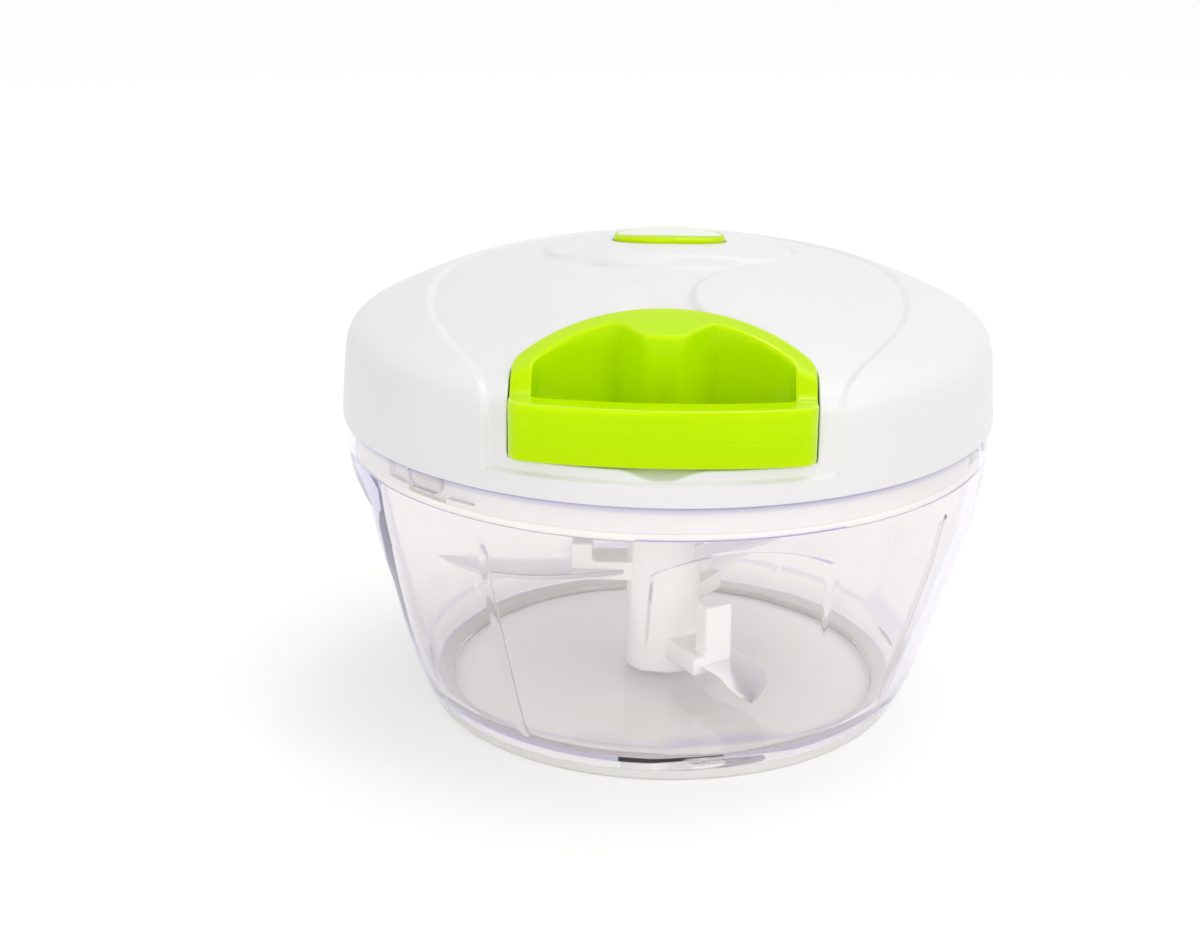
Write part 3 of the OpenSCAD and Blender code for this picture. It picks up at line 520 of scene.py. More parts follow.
# Silicone, satin from a sandblasted mould: pale, a little cloudy, soft shine.
silicone, tree = new_material("silicone")
where = add(tree, "TexCoord").outputs["Object"]
_, bump = relief(tree, where, 2500.0, 3.0, 0.25, 0.00005)
cloud = add(tree, "TexNoise", {"Vector": where, "Scale": 120.0})
shade = add(tree, "Mix", {"Factor": cloud, 6: "F4F2EE", 7: "FAF8F4"}, data_type="RGBA")
rubber = add(tree, "BsdfPrincipled", {
    "Base Color": shade.outputs[2], "Roughness": 0.42, "IOR": 1.41, "Subsurface Weight": 0.15,
    "Subsurface Radius": (0.004, 0.004, 0.0035), "Subsurface Scale": 1.0, "Normal": bump})
add(tree, "OutputMaterial", {"Surface": rubber})

foot_line = [(46.5, 2.38), (44.5, 2.38), (44.5, 0.35), (44.9, 0.02), (48.3, 0.02), (48.76, 0.5),
             (48.76, 2.38), (46.5, 2.38)]
foot_ring = turned("foot_ring", foot_line, 0.25, 240, silicone, "bowl", "silicone", 0.9)
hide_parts("base_ring")

# ---- Blade hub ----------------------------------------------------------------------------
# A white ABS tower that turns on the centre pin. Three arms grip the blades' roots and end in
# small posts. The hexagon on top plugs into the drive shaft. Every edge is moulded round.


def white_plastic(name, pale, dark, roughness, wave):
    """A white moulding: faint shrink waves, a fine moulded grain and slight changes of gloss."""
    material, tree = new_material(name)
    where = add(tree, "TexCoord").outputs["Object"]
    shrink, sink = relief(tree, where, 40.0, 1.0, wave, 0.0002)
    _, bump = relief(tree, where, 4000.0, 2.0, 0.08, 0.00002, {"Normal": sink})
    shade = add(tree, "Mix", {"Factor": shrink, 6: dark, 7: pale}, data_type="RGBA")
    gloss = add(tree, "MapRange", {"Value": shrink, "From Min": 0.3, "From Max": 0.7,
                                   "To Min": roughness - 0.03, "To Max": roughness + 0.03})
    body = add(tree, "BsdfPrincipled", {
        "Base Color": shade.outputs[2], "Roughness": gloss, "IOR": 1.53, "Subsurface Weight": 0.08,
        "Subsurface Radius": (0.003, 0.0028, 0.0026), "Subsurface Scale": 1.0, "Normal": bump})
    add(tree, "OutputMaterial", {"Surface": body})
    return material


# The hub's white ABS is written paler than the lid's: painted light that makes up for the lid's shadow over
# it.
hub_abs_painted_light = white_plastic("white_abs_hub_painted_light", "F8F8F7", "F5F5F3", 0.33, 0.2)
hub_top = ledge_z - 6.5
# Each blade's turn, height and reach, and how high the post stands on its arm.
blades = {"upper_blade": (-90, 25, 48, 6), "lower_blade": (30, 9.5, 38, 12.6),
          "middle_blade": (150, 16, 48, 8)}


def block(mesh, low, high, turn):
    """Adds a box to a bmesh, turned about the Z axis."""
    middle = [(a + b) / 2 for a, b in zip(low, high)]
    sides = [b - a for a, b in zip(low, high)]
    place = Matrix.Rotation(turn, 4, "Z") @ Matrix.Translation(middle) @ Matrix.Diagonal((*sides, 1))
    bmesh.ops.create_cube(mesh, size=1.0, matrix=place)


rough = bmesh.new()
for low, high, r0, r1, sides in ((3.4, hub_top, 7.9, 7.3, 96), (3.4, hub_top + 6, 4.62, 4.62, 6)):
    bmesh.ops.create_cone(rough, cap_ends=True, segments=sides, radius1=r0, radius2=r1, depth=high - low,
                          matrix=Matrix.Translation((0, 0, (low + high) / 2)))
for azimuth, z, _, post in blades.values():
    block(rough, (-3.4, -19, z - 2), (5.4, 0, z + 2), math.radians(azimuth))
    block(rough, (-0.6, -19, z), (5.4, -14.6, z + post), math.radians(azimuth))
bmesh.ops.scale(rough, vec=(MM, MM, MM), verts=rough.verts)
hub_mesh = bpy.data.meshes.new("hub")
rough.to_mesh(hub_mesh)
rough.free()


def finished(mesh, *modifiers):
    """The plain mesh that these modifiers leave."""
    carrier = put("carrier", mesh)
    for kind, settings in modifiers:
        modifier = carrier.modifiers.new(kind, kind)
        for name, value in settings.items():
            setattr(modifier, name, value)
    result = bpy.data.meshes.new_from_object(carrier.evaluated_get(bpy.context.evaluated_depsgraph_get()))
    bpy.data.objects.remove(carrier)
    return result


rounding = (("REMESH", {"mode": "VOXEL", "voxel_size": 0.35 * MM, "use_smooth_shade": True}),
            ("SMOOTH", {"factor": 0.5, "iterations": 7}))
hub_mesh = finished(hub_mesh, *rounding)
hub_mesh.materials.clear()
hub_mesh.materials.append(hub_abs_painted_light)
hub = riding("moulded_hub", hub_mesh, "blades")
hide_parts("blade_hub")

# ---- Blades -------------------------------------------------------------------------------
# Three sickles of 1 mm rolled stainless steel, moulded into the arms. The inner side is ground
# to an edge; the outer side keeps the sheet's square edge, slightly broken.

blade_steel, tree = new_material("ground_stainless_steel")
where = add(tree, "TexCoord").outputs["Object"]
stretch = add(tree, "Mapping", {"Vector": where, "Scale": (1.0, 12.0, 1.0)})
rolled, bump = relief(tree, stretch, 900.0, 4.0, 0.12, 0.00002)
ground = add(tree, "Attribute", attribute_name="ground")
shade = add(tree, "Mix", {"Factor": ground.outputs["Fac"], 6: "E6E5EB", 7: "F6F6F9"}, data_type="RGBA")
gloss = add(tree, "MapRange", {"Value": rolled, "From Min": 0.3, "From Max": 0.7,
                               "To Min": 0.18, "To Max": 0.26})
steel = add(tree, "BsdfPrincipled", {"Base Color": shade.outputs[2], "Metallic": 1.0, "Roughness": gloss,
                                     "Normal": bump})
add(tree, "OutputMaterial", {"Surface": steel})


def turn_out(mesh, sharp=180):
    """Turns a mesh's faces outwards, and keeps its edges sharp where they bend by this many degrees."""
    work = bmesh.new()
    work.from_mesh(mesh)
    bmesh.ops.recalc_face_normals(work, faces=work.faces)
    for line in work.edges:
        line.smooth = line.calc_face_angle(0) < math.radians(sharp)
    work.to_mesh(mesh)
    work.free()


back_edge = [(3, 0.04), (7, 0.27), (9.5, 0.54), (7, 0.79), (-1.5, 1)]
cutting_edge = [(-3, 0.04), (-2.8, 0.33), (-1, 0.625), (-2, 0.83), (-1.5, 1)]
grind = 3.6

for name, (azimuth, height, long, _) in blades.items():
    back, edge = (pick(even(spline([(x, -y * long) for x, y in line], 24), 0.2), 0.6, 3, 90)[:-1]
                  for line in (back_edge, cutting_edge))
    across = np.linalg.norm(back - edge, axis=1)
    ground_in = edge + (back - edge) * (np.minimum(grind, 0.55 * across) / across)[:, None]
    broken_in = back + (edge - back) * (0.12 / across)[:, None]
    rows = [(place, np.minimum(half, 0.04 + 0.46 * across / 3))
            for place, half in ((edge, 0.04), (ground_in, 0.5), (broken_in, 0.5), (back, 0.38))]
    grid = np.array([np.column_stack([place, height + side * thick])
                     for side, some in ((1, rows), (-1, rows[::-1])) for place, thick in some])
    c, s = math.cos(math.radians(azimuth)), math.sin(math.radians(azimuth))
    points = grid.reshape(-1, 3) @ np.array([[c, s, 0], [-s, c, 0], [0, 0, 1]])
    n, m = grid.shape[:2]
    faces = [(i * m + k, ((i + 1) % n) * m + k, ((i + 1) % n) * m + k + 1, i * m + k + 1)
             for i in range(n) for k in range(m - 1)]
    faces += [tuple(i * m for i in reversed(range(n))), tuple(i * m + m - 1 for i in range(n))]
    blade = make("ground_" + name, points, faces, blade_steel, "blades", "blade_steel")
    mark(blade, "ground", np.repeat([1, 0, 0, 0, 0, 0, 0, 1], m))
    turn_out(blade.data, 25)
    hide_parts(name)

# ---- Lid ----------------------------------------------------------------------------------
# A white ABS dome, moulded in one piece: a leaf-shaped panel field and a narrower waist sunk
# below the dome, a raised oval platform, a seat for the oval cap, and the handle's deep pocket.

white_abs = white_plastic("white_abs", "F1EFF0", "EEECED", 0.33, 0.25)
lid_z = bowl_top + 0.1
lid_top = lid_z + 33.8
lid_ctrl = [(65.1, 0), (64.75, 5.5), (64.4, 9.5), (64.05, 13.3), (63.3, 16.1), (61.7, 18.1), (59.5, 19.5),
            (55.2, 21.5), (50.7, 23.5), (45.5, 25.5), (39.3, 27.5), (31.3, 29.5), (20.5, 31.5), (10.8, 33),
            (0, 33.8)]
field = [(31, -70), (31, -60), (31.4, -54), (34.4, -46.3), (39.5, -36.5), (44, -25), (46, -11), (44.5, 6),
         (37, 24), (21, 36), (0, 40)]
waist = [(8.6, -39.5), (6, -34.8), (4.9, -29.5), (6, -23), (10.2, -17), (16.2, -10.8), (21, -3), (24.4, 5)]
panel_depth, waist_depth = 0.8, 1.0
panel_crease, waist_crease, platform_crease, ledge_crease = 1.3, 1.8, 1.1, 0.8
ledge_line = lid_z + 4.2
pocket_floor = lid_z + 6.4

dome = even(spline([(r, h + lid_z) for r, h in lid_ctrl][::-1], 16), 0.1)
dome_s = along(dome)
dome_turn = np.gradient(dome, dome_s, axis=0)
lid_edge = dome_s[-1]


def both_sides(line):
    """A closed outline from its right half, drawn from front to back."""
    right = spline(line, 16)
    return np.concatenate([right, right[::-1] * [-1, 1]])


def from_outline(outline, points, step=4000):
    """Signed distances to a closed outline, positive inside, and the nearest points on it."""
    a, b = outline, np.roll(outline, -1, axis=0)
    edge = b - a
    distance, nearest = np.empty(len(points)), np.empty((len(points), 2))
    for first in range(0, len(points), step):
        p = points[first:first + step, None, :]
        t = np.clip(((p - a) * edge).sum(2) / np.maximum((edge ** 2).sum(1), 1e-12), 0, 1)
        foot = a + t[..., None] * edge
        far = np.linalg.norm(p - foot, axis=2)
        best = far.argmin(1)
        rows = np.arange(len(best))
        crossed = (a[:, 1] > p[..., 1]) != (b[:, 1] > p[..., 1])
        slope = np.where(np.abs(edge[:, 1]) < 1e-12, 1e-12, edge[:, 1])
        right = p[..., 0] < a[:, 0] + (p[..., 1] - a[:, 1]) * edge[:, 0] / slope
        inside = (crossed & right).sum(1) % 2 == 1
        distance[first:first + step] = np.where(inside, far[rows, best], -far[rows, best])
        nearest[first:first + step] = foot[rows, best]
    return distance, nearest


def oval(length, width, n=120):
    """An oval outline of n points, counterclockwise from +X."""
    a = np.arange(n) * 2 * math.pi / n
    return np.stack([length / 2 * np.cos(a), width / 2 * np.sin(a)], 1)


field_line, waist_line, platform_line = both_sides(field), both_sides(waist), oval(49, 28, 360)


def outer(chart):
    """Points of the lid's outer face. The chart is the dome rolled out flat round its crown."""
    s = np.linalg.norm(chart, axis=1)
    way = chart / np.maximum(s, 1e-9)[:, None]
    (r, z), (tr, tz) = (between_points(s, dome_s, line).T for line in (dome, dome_turn))
    flat = way * r[:, None]
    depth = (panel_depth * ease(from_outline(field_line, flat)[0] / panel_crease)
             + waist_depth * ease(from_outline(waist_line, flat)[0] / waist_crease))
    depth *= ease(-from_outline(platform_line, flat)[0] / platform_crease)
    depth *= ease((z - ledge_line) / ledge_crease)
    return np.column_stack([flat + way * (depth * tz)[:, None], z - depth * tr])


def to_chart(flat, z=None):
    """Chart places of points on the undented dome, from above, or from their heights on the skirt."""
    r = np.linalg.norm(flat, axis=1)
    s = np.interp(r, dome[:, 0], dome_s) if z is None else np.interp(-z, -dome[:, 1], dome_s)
    return flat / np.maximum(r, 1e-9)[:, None] * s[:, None]


def dee(half_width, back, curve, front, back_corner, front_corner, bump=0.0, bump_half=9.4, nose=2.2,
        counts=(30, 10, 24, 10, 50)):
    """A D shape: straight sides, a back arc, a shallow front arc. bump is the cord boss's bulge."""
    front_curve = 105.0
    back_y, front_y = -back - curve, -front + front_curve
    bx, fx = half_width - back_corner, half_width - front_corner
    by = back_y + math.sqrt((curve - back_corner) ** 2 - bx ** 2)
    fy = front_y - math.sqrt((front_curve - front_corner) ** 2 - fx ** 2)
    back_turn, front_turn = math.atan2(by - back_y, bx), math.atan2(fy - front_y, fx)
    x = np.linspace(0, front_curve * math.cos(front_turn), counts[0], endpoint=False)
    half = [np.stack([x, front_y - np.sqrt(front_curve ** 2 - x ** 2)], 1)]
    for cx, cy, r, a0, a1, n in ((fx, fy, front_corner, front_turn, 0, counts[1]),
                                 (bx, by, back_corner, 0, back_turn, counts[3])):
        a = np.linspace(a0, a1, n)
        half.append(np.stack([cx + r * np.cos(a), cy + r * np.sin(a)], 1))
    rise = np.linspace(0, 1, counts[2] + 1)[1:-1, None]
    half.insert(2, half[1][-1] + (half[2][0] - half[1][-1]) * rise)
    x = curve * math.cos(back_turn) * (1 - np.linspace(0, 1, counts[4])[1:])
    bulge = bump * ease(0.5 - (x - nose) / (bump_half - nose))
    half.append(np.stack([x, back_y + np.sqrt(curve ** 2 - x ** 2) - bulge], 1))
    half = np.concatenate(half)
    return np.concatenate([half, half[-2:0:-1] * [-1, 1]])


def rows_along(line, offsets, step=1.0):
    """Rows of chart points beside a line on the dome."""
    line = even(to_chart(line), step)
    way = unit(np.gradient(line, axis=0))
    side = np.stack([-way[:, 1], way[:, 0]], 1)
    return np.concatenate([line + side * d for d in offsets])


def crowd(points, *more):
    """One set of points from several. From each next one, only those stay that are far from all before."""
    for others, far in more:
        apart = [((points - other) ** 2).sum(1).min() >= far * far for other in others]
        points = np.concatenate([points, others[apart]])
    return points


def hexagons(radius, step):
    """Evenly spread points over a disc."""
    n = int(radius / step) + 2
    grid = [((i + 0.5 * (j % 2)) * step, j * step * 0.866)
            for j in range(-n - 2, n + 3) for i in range(-n - 1, n + 2)]
    return np.array([p for p in grid if math.hypot(*p) < radius])


def patch(loops, fillers):
    """Triangles inside the first loop and outside the others. The loops' points come first, in order."""
    points = np.concatenate([*loops, fillers])
    edges, first = [], 0
    for loop in loops:
        edges += [(first + i, first + (i + 1) % len(loop)) for i in range(len(loop))]
        first += len(loop)
    _, _, triangles, origin, _, _ = delaunay_2d_cdt(points.tolist(), edges, [], 0, 1e-7)
    name = [o[0] for o in origin]
    triangles = np.array([[name[i] for i in t] for t in triangles])
    middle = points[triangles].mean(1)
    keep = from_outline(loops[0], middle)[0] > 0
    for hole in loops[1:]:
        keep &= from_outline(hole, middle)[0] < 0
    return points, triangles[keep]


def skirt_chart(x, z):
    """Chart places at these x and heights on the undented dome, in front."""
    r = np.interp(-z, -dome[:, 1], dome[:, 0])
    return to_chart(np.stack([x, -np.sqrt(r ** 2 - x ** 2)], 1), z)


def on_skirt(x, z):
    """Chart places and points of the outer face at these x and heights, in front."""
    u, w = x, z
    for _ in range(8):
        chart = skirt_chart(u, w)
        spots = outer(chart)
        u, w = u + x - spots[:, 0], w + z - spots[:, 2]
    return chart, spots


def on_dome(flat):
    """Chart places and points of the outer face above these x, y."""
    guess = flat
    for _ in range(8):
        chart = to_chart(guess)
        spots = outer(chart)
        guess = guess + flat - spots[:, :2]
    return chart, spots


def outward(loop):
    """Unit normals of a closed loop that runs counterclockwise, pointing out."""
    way = unit(np.roll(loop, -1, axis=0) - loop)
    way = unit(way + np.roll(way, 1, axis=0))
    return np.stack([way[:, 1], -way[:, 0]], 1)


scoop_deep, scoop_half, scoop_start = 1.7, 5.8, -62.8


def dip(x, y):
    """The thumb scoop in the pocket's floor, under the middle of the handle's front."""
    return scoop_deep * ease((scoop_half - np.abs(x)) / 7 - 0.2) * ease((scoop_start - y) / 1.8)


# The pocket's sharp rim: along the floor's front edge, up the skirt, and back over the dome.
pocket_half, pocket_back = 26.88, 36.7
pocket = dee(pocket_half, pocket_back, 36.3, 84.4, 4.8, 3.0)
pocket_r = 62.6
front_x = np.linspace(0, pocket_half, 36)
front_rim = on_skirt(front_x, pocket_floor - dip(front_x, np.full(36, -64.0)))
rise_z = np.interp(pocket_r, dome[:, 0], dome[:, 1])
side_rim = on_skirt(np.full(13, pocket_half), np.linspace(pocket_floor, rise_z, 14)[1:])
side_y = side_rim[1][-1, 1]
right = pocket[:len(pocket) // 2]
right = right[right[:, 1] > side_y + 0.5]
back_half = pick(np.array([(pocket_half, side_y), *right, (0, -pocket_back)]), 0.9, 6)[1:]
back_rim = on_dome(back_half)
charts = np.concatenate([front_rim[0], side_rim[0], back_rim[0]])
corners = np.concatenate([front_rim[1], side_rim[1], back_rim[1]])
lean = unit(np.gradient(back_half, axis=0))
lean = np.stack([lean[:, 1], -lean[:, 0]], 1)
unfolded = np.concatenate([front_rim[1][:, :2],
                           side_rim[1][:, :2] + (side_rim[1][:, 2:] - pocket_floor) * [1, 0],
                           back_half + lean * (back_rim[1][:, 2:] - pocket_floor)])
charts, corners, unfolded = (np.concatenate([half, half[-2:0:-1] * ([-1, 1, 1][:half.shape[1]])])
                             for half in (charts, corners, unfolded))


def pocket_face(q, fillet=0.6):
    """The pocket's floor, with its walls folded up round it."""
    inside, foot = from_outline(pocket, q)
    h = -inside
    normal = (q - foot) * np.sign(h)[:, None]
    long = np.linalg.norm(normal, axis=1)[:, None]
    normal = np.where(long > 1e-6, normal / np.maximum(long, 1e-9), 0)
    bend = np.clip((h + fillet) / (2 * fillet), 0, 1) * math.pi / 2
    on_floor = h <= -fillet
    flat = np.where(on_floor[:, None], q, foot - normal * (fillet - fillet * np.sin(bend))[:, None])
    z = pocket_floor + np.where(on_floor, -dip(q[:, 0], q[:, 1]), fillet - fillet * np.cos(bend))
    return np.column_stack([flat, z + np.maximum(h - fillet, 0)])


rim_edge = 0.45
rim_chart = charts + rim_edge * outward(charts)
rim_inner = unfolded - rim_edge * outward(unfolded)
rim_top, rim_low = outer(rim_chart), pocket_face(rim_inner)
bends = [(1 - t) ** 2 * rim_top + 2 * t * (1 - t) * corners + t * t * rim_low for t in (0.2, 0.4, 0.6, 0.8)]
rim_rows = [rim_top, *bends, rim_low]

# The cap's seat: an oval sunk into the platform.
seat_line, seat_half, seat_deep = oval(22.5, 11.3, 120), np.array([11.25, 5.75]), 1.9
seat_chart, seat_edge = on_dome(seat_line)
seat_chart = seat_chart + 0.3 * outward(seat_chart)
seat_top = outer(seat_chart)
seat_rows = [seat_top]
for inset, deep in ((0.05, 0.06), (0, 0.3), (0, 1), (0, 1.6), (0.12, 1.84), (0.4, seat_deep), (2, seat_deep),
                    (4, seat_deep)):
    shrunk = seat_line * ((seat_half - inset) / seat_half)
    z = np.where(deep < 0.4, seat_edge[:, 2] - deep, lid_top - deep)
    seat_rows.append(np.column_stack([shrunk, z]))
seat_rows.append((0, 0, lid_top - seat_deep))

# The outer face: close rows of points along every crease, and an even spread between them.
offsets = (-0.8, -0.5, -0.25, 0, 0.25, 0.5, 0.8)
side_half, side_rows = field[0][0], 18
sides_x = np.concatenate([np.full(side_rows, side * (side_half + o)) for side in (-1, 1) for o in offsets])
sides_z = np.tile(np.linspace(ledge_line - 0.4, 77, side_rows), 2 * len(offsets))
ledge_x = np.tile(np.arange(-31.2, 31.3, 1.04), 5)
ledge_z_rows = np.repeat(ledge_line + np.array([-0.5, -0.25, 0, 0.25, 0.5]), len(ledge_x) // 5)
top_field = field_line[np.linalg.norm(field_line, axis=1) < 62.4]
waist_right = spline(waist, 16)
waist_right = waist_right[(waist_right[:, 1] > -36) & (from_outline(platform_line, waist_right)[0] < 0.6)]
platform_round = np.concatenate([platform_line, platform_line[:1]])
features = [rows_along(top_field, offsets), rows_along(platform_round, offsets[1:-1]),
            rows_along(waist_right, offsets), rows_along(waist_right * [-1, 1], offsets),
            skirt_chart(sides_x, sides_z), skirt_chart(ledge_x, ledge_z_rows)]
fillers = crowd(features[0], *((more, 0.2) for more in features[1:]), (hexagons(lid_edge, 1.5), 0.75))
rim_columns = 360
around = np.linspace(0, 2 * math.pi, rim_columns, endpoint=False)
lower_s = lid_edge - 0.5
lower_loop = ring(lower_s, 0, around)[:, :2]
free = ((np.linalg.norm(fillers, axis=1) < lower_s - 0.5) & (from_outline(rim_chart, fillers)[0] < -0.35)
        & (from_outline(seat_chart, fillers)[0] < -0.3))
chart_points, outer_faces = patch([lower_loop, rim_chart, seat_chart], fillers[free])
outer_points = outer(chart_points)


def middle_of(node, axis):
    """The middle of a node's box along one axis, in millimetres."""
    low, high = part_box(node)
    return (low[axis] + high[axis]) / 2 / MM


fold_rows = even(pocket, 0.9)
fold_normal = outward(fold_rows)
fold = np.concatenate([fold_rows + fold_normal * o for o in (-0.6, -0.3, 0, 0.3, 0.6)])
floor_fill = crowd(fold, (hexagons(70, 1.7), 0.7))
guide_z = middle_of("cord_guide", 2)
guide_hole = oval(6.4, 6.4, 40) + [0, guide_z - pocket_floor - pocket_back]
free = (from_outline(rim_inner, floor_fill)[0] > 0.4) & (from_outline(guide_hole, floor_fill)[0] < -0.3)
unfolded_points, pocket_faces = patch([rim_inner, guide_hole], floor_fill[free])
pocket_points = pocket_face(unfolded_points)
guide_rings = [pocket_face(guide_hole) + [0, deep, 0] for deep in (0, 0.3, 1.5)] + [(0, -34.7, guide_z)]

# The underside: the skirt's lower edge and its inner wall, then the dome's inner face with the
# pocket hanging from it. The cover hides it.
pocket_low = 65.1
wall = np.where(dome[:, 1] > 76.5, 3.2, 2.2)[:, None]
inner_line = dome - np.stack([-dome_turn[:, 1], dome_turn[:, 0]], 1) * wall
edge_line = [*between_points([lower_s], dome_s, dome), (65.1, lid_z), (62.9, lid_z), (62.55, pocket_low)]
edge_line = pick(soften(edge_line, 0.35), 1.2, 14)
skirt_rings = [ring(r, z, around) for r, z in edge_line[1:]]
inner_loop = skirt_rings[-1][:, :2]
hanging = dee(29.2, 34.4, 38.6, 84.4, 7.1, 3.0)
wall_rows = even(np.concatenate([hanging, hanging[:1]]), 1.6)[:-1]
wall_rows = np.concatenate([wall_rows, wall_rows + 0.2 * outward(wall_rows)])
rim_rings = np.concatenate([ring(r, 0, around[::2])[:, :2] for r in (62.2, 61.8, 60.8, 59)])
inner_fill = crowd(wall_rows, (rim_rings, 0.3), (hexagons(58.5, 3.0), 1.4))
inner_fill = inner_fill[np.linalg.norm(inner_fill, axis=1) < 62.4]
inner_flat, inner_faces = patch([inner_loop], inner_fill)
descending = inner_line[np.argsort(inner_line[:, 0])]
roof = np.interp(np.linalg.norm(inner_flat, axis=1), descending[:, 0], descending[:, 1])
roof = np.where(from_outline(hanging, inner_flat)[0] > -0.1, pocket_low, roof)
inner_points = np.column_stack([inner_flat, np.maximum(roof, pocket_low)])
inner_points[:len(inner_loop), 2] = pocket_low


def gather(*parts):
    """One set of points and faces from several, with points that coincide made one, and which those are."""
    points, faces, first = [], [], 0
    for some, polygons in parts:
        points.append(some)
        faces += [tuple(int(i) + first for i in f) for f in polygons]
        first += len(some)
    points = np.concatenate(points)
    _, chosen, named = np.unique(np.round(points, 4), axis=0, return_index=True, return_inverse=True)
    named = named.ravel()
    clean = []
    for f in faces:
        f = tuple(dict.fromkeys(int(named[i]) for i in f))
        if len(f) > 2:
            clean.append(f)
    return points[chosen], clean, chosen


def solid(points, faces):
    """The same faces, all turned outwards."""
    mesh = bmesh.new()
    verts = [mesh.verts.new(p) for p in points]
    for f in faces:
        try:
            mesh.faces.new([verts[i] for i in f])
        except ValueError:
            continue
    bmesh.ops.recalc_face_normals(mesh, faces=mesh.faces)
    mesh.verts.index_update()
    out = [tuple(v.index for v in f.verts) for f in mesh.faces]
    mesh.free()
    return out


points, faces, chosen = gather((outer_points, outer_faces), skin(rim_rows), (pocket_points, pocket_faces),
                               skin(seat_rows), skin([outer_points[:rim_columns], *skirt_rings]),
                               (inner_points, inner_faces), skin(guide_rings))
faces = solid(points, faces)
moulded_lid = make("moulded_lid", points, faces, white_abs, "lid", "white_plastic")
near = 0.04
slopes = [outer(chart_points + [near * i, near * j]) for i, j in ((1, 0), (-1, 0), (0, 1), (0, -1))]
facing = unit(np.cross(slopes[0] - slopes[1], slopes[2] - slopes[3]))
normals = np.array([n.vector for n in moulded_lid.data.vertex_normals])
known = chosen < len(chart_points)
exact = facing[chosen[known]]
exact *= np.sign((exact * normals[known]).sum(1))[:, None]
normals[known] = exact
moulded_lid.data.normals_split_custom_set_from_vertices(normals.tolist())
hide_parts("lid")

# ---- Oval cap -----------------------------------------------------------------------------
# A green ABS cap over the spindle's end, with a white oval let into its rim.


def lime_plastic(name, seam):
    """Lime green ABS: glossy, dyed right through, and a little light goes into it. seam is the mould's."""
    material, tree = new_material(name)
    where = add(tree, "TexCoord").outputs["Object"]
    shrink, sink = relief(tree, where, 60.0, 1.0, 0.3, 0.0002)
    _, bump = relief(tree, where, 3000.0, 2.0, 0.05, 0.00002, {"Normal": sink})
    split = add(tree, "SeparateXYZ", {0: where})
    above = add(tree, "Math", {0: split.outputs["Z"], 1: seam * MM}, operation="SUBTRACT")
    beside = add(tree, "Math", {0: above}, operation="ABSOLUTE")
    groove = add(tree, "MapRange", {"Value": beside, "From Max": 0.00022}, interpolation_type="SMOOTHSTEP")
    parted = add(tree, "Bump", {"Height": groove, "Strength": 0.5, "Distance": 0.0001, "Normal": bump})
    shade = add(tree, "Mix", {"Factor": shrink, 6: "C1EC00", 7: "C7F100"}, data_type="RGBA")
    body = add(tree, "BsdfPrincipled", {
        "Base Color": shade.outputs[2], "Roughness": 0.1, "IOR": 1.53, "Specular Tint": (0.8, 1.0, 0.0, 1.0),
        "Subsurface Weight": 0.5, "Subsurface Radius": (0.004, 0.0055, 0.0006), "Subsurface Scale": 1.0,
        "Coat Weight": 0.1, "Coat Roughness": 0.03, "Normal": parted})
    add(tree, "OutputMaterial", {"Surface": body})
    return material


lime_abs = lime_plastic("lime_abs", 72.3)
white_face = white_plastic("white_abs_cap", "F6F8F2", "F3F6EE", 0.33, 0.15)


cap_half, cap_bow = 11, 0.6


def between(outer, inner, rows):
    """A closed solid of rings, each at its share of the way from one outline to another and at its height."""
    rings = [np.column_stack([outer + (inner - outer) * share, np.full(len(outer), z)]) for share, z in rows]
    ends = [(*rings[i][:, :2].mean(0), rows[i][1]) for i in (0, -1)]
    points, faces = skin([ends[0], *rings, ends[1]])
    points[:, 2] -= cap_bow * (points[:, 0] / cap_half) ** 2 * np.clip(points[:, 2] - lid_top + 1, 0, 1)
    return points, faces


cap_line, face_line = oval(2 * cap_half, 10.8, 144), oval(21, 8, 144) + [0, 0.75]
cap_low, brow, crown = lid_top - 1.88, lid_top + 0.12, lid_top + 0.82
sweep = np.linspace(0, math.pi / 2, 12)
shell = [(0.5, cap_low), (0.05, cap_low), (0.01, cap_low + 0.04), (0, cap_low + 0.15),
         *zip(0.94 * (1 - np.cos(sweep)), brow + (crown - brow) * np.sin(sweep)),
         (0.975, crown - 0.03), (0.995, crown - 0.1), (1, crown - 0.2), (1, crown - 0.6), (1.2, crown - 0.62)]
green_cap = make("green_cap", *between(cap_line, face_line, shell), lime_abs, "lid", "green_plastic")
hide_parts("top_cap")
disc = [(0.3, crown - 0.6), (0.03, crown - 0.6), (0.01, crown - 0.55), (0.01, crown - 0.14),
        (0.02, crown - 0.06), (0.05, crown), (0.15, crown + 0.05), (0.35, crown + 0.1), (0.6, crown + 0.14)]
middle = face_line * 0 + [0, 0.75]
cap_face = make("white_cap_face", *between(face_line, middle, disc), white_face, "lid", "white_plastic")
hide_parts("cap_insert")

# ---- Handle -------------------------------------------------------------------------------
# A lime D-shaped grip, moulded solid with round edges, that fills the pocket and follows the
# dome. Its rear boss holds the cord's knot in a hole from below.

grip_low = lid_z + 6.8
proud = dome + np.stack([-dome_turn[:, 1], dome_turn[:, 0]], 1) * 0.3
outside_line = dee(26.6, 37, 36, 64.4, 4.5, 3.2)
bar_top = grip_low + 10.3
hole_line = dee(22.8, 40.8, 32.2, 58.9, 3.4, 1.6, bump=5.8)
proud_r, proud_z = proud[:, 0], proud[:, 1]
fall_start, fall_slope, fall_bend, edge_round = -55.5, 1.12, 0.35, 0.42


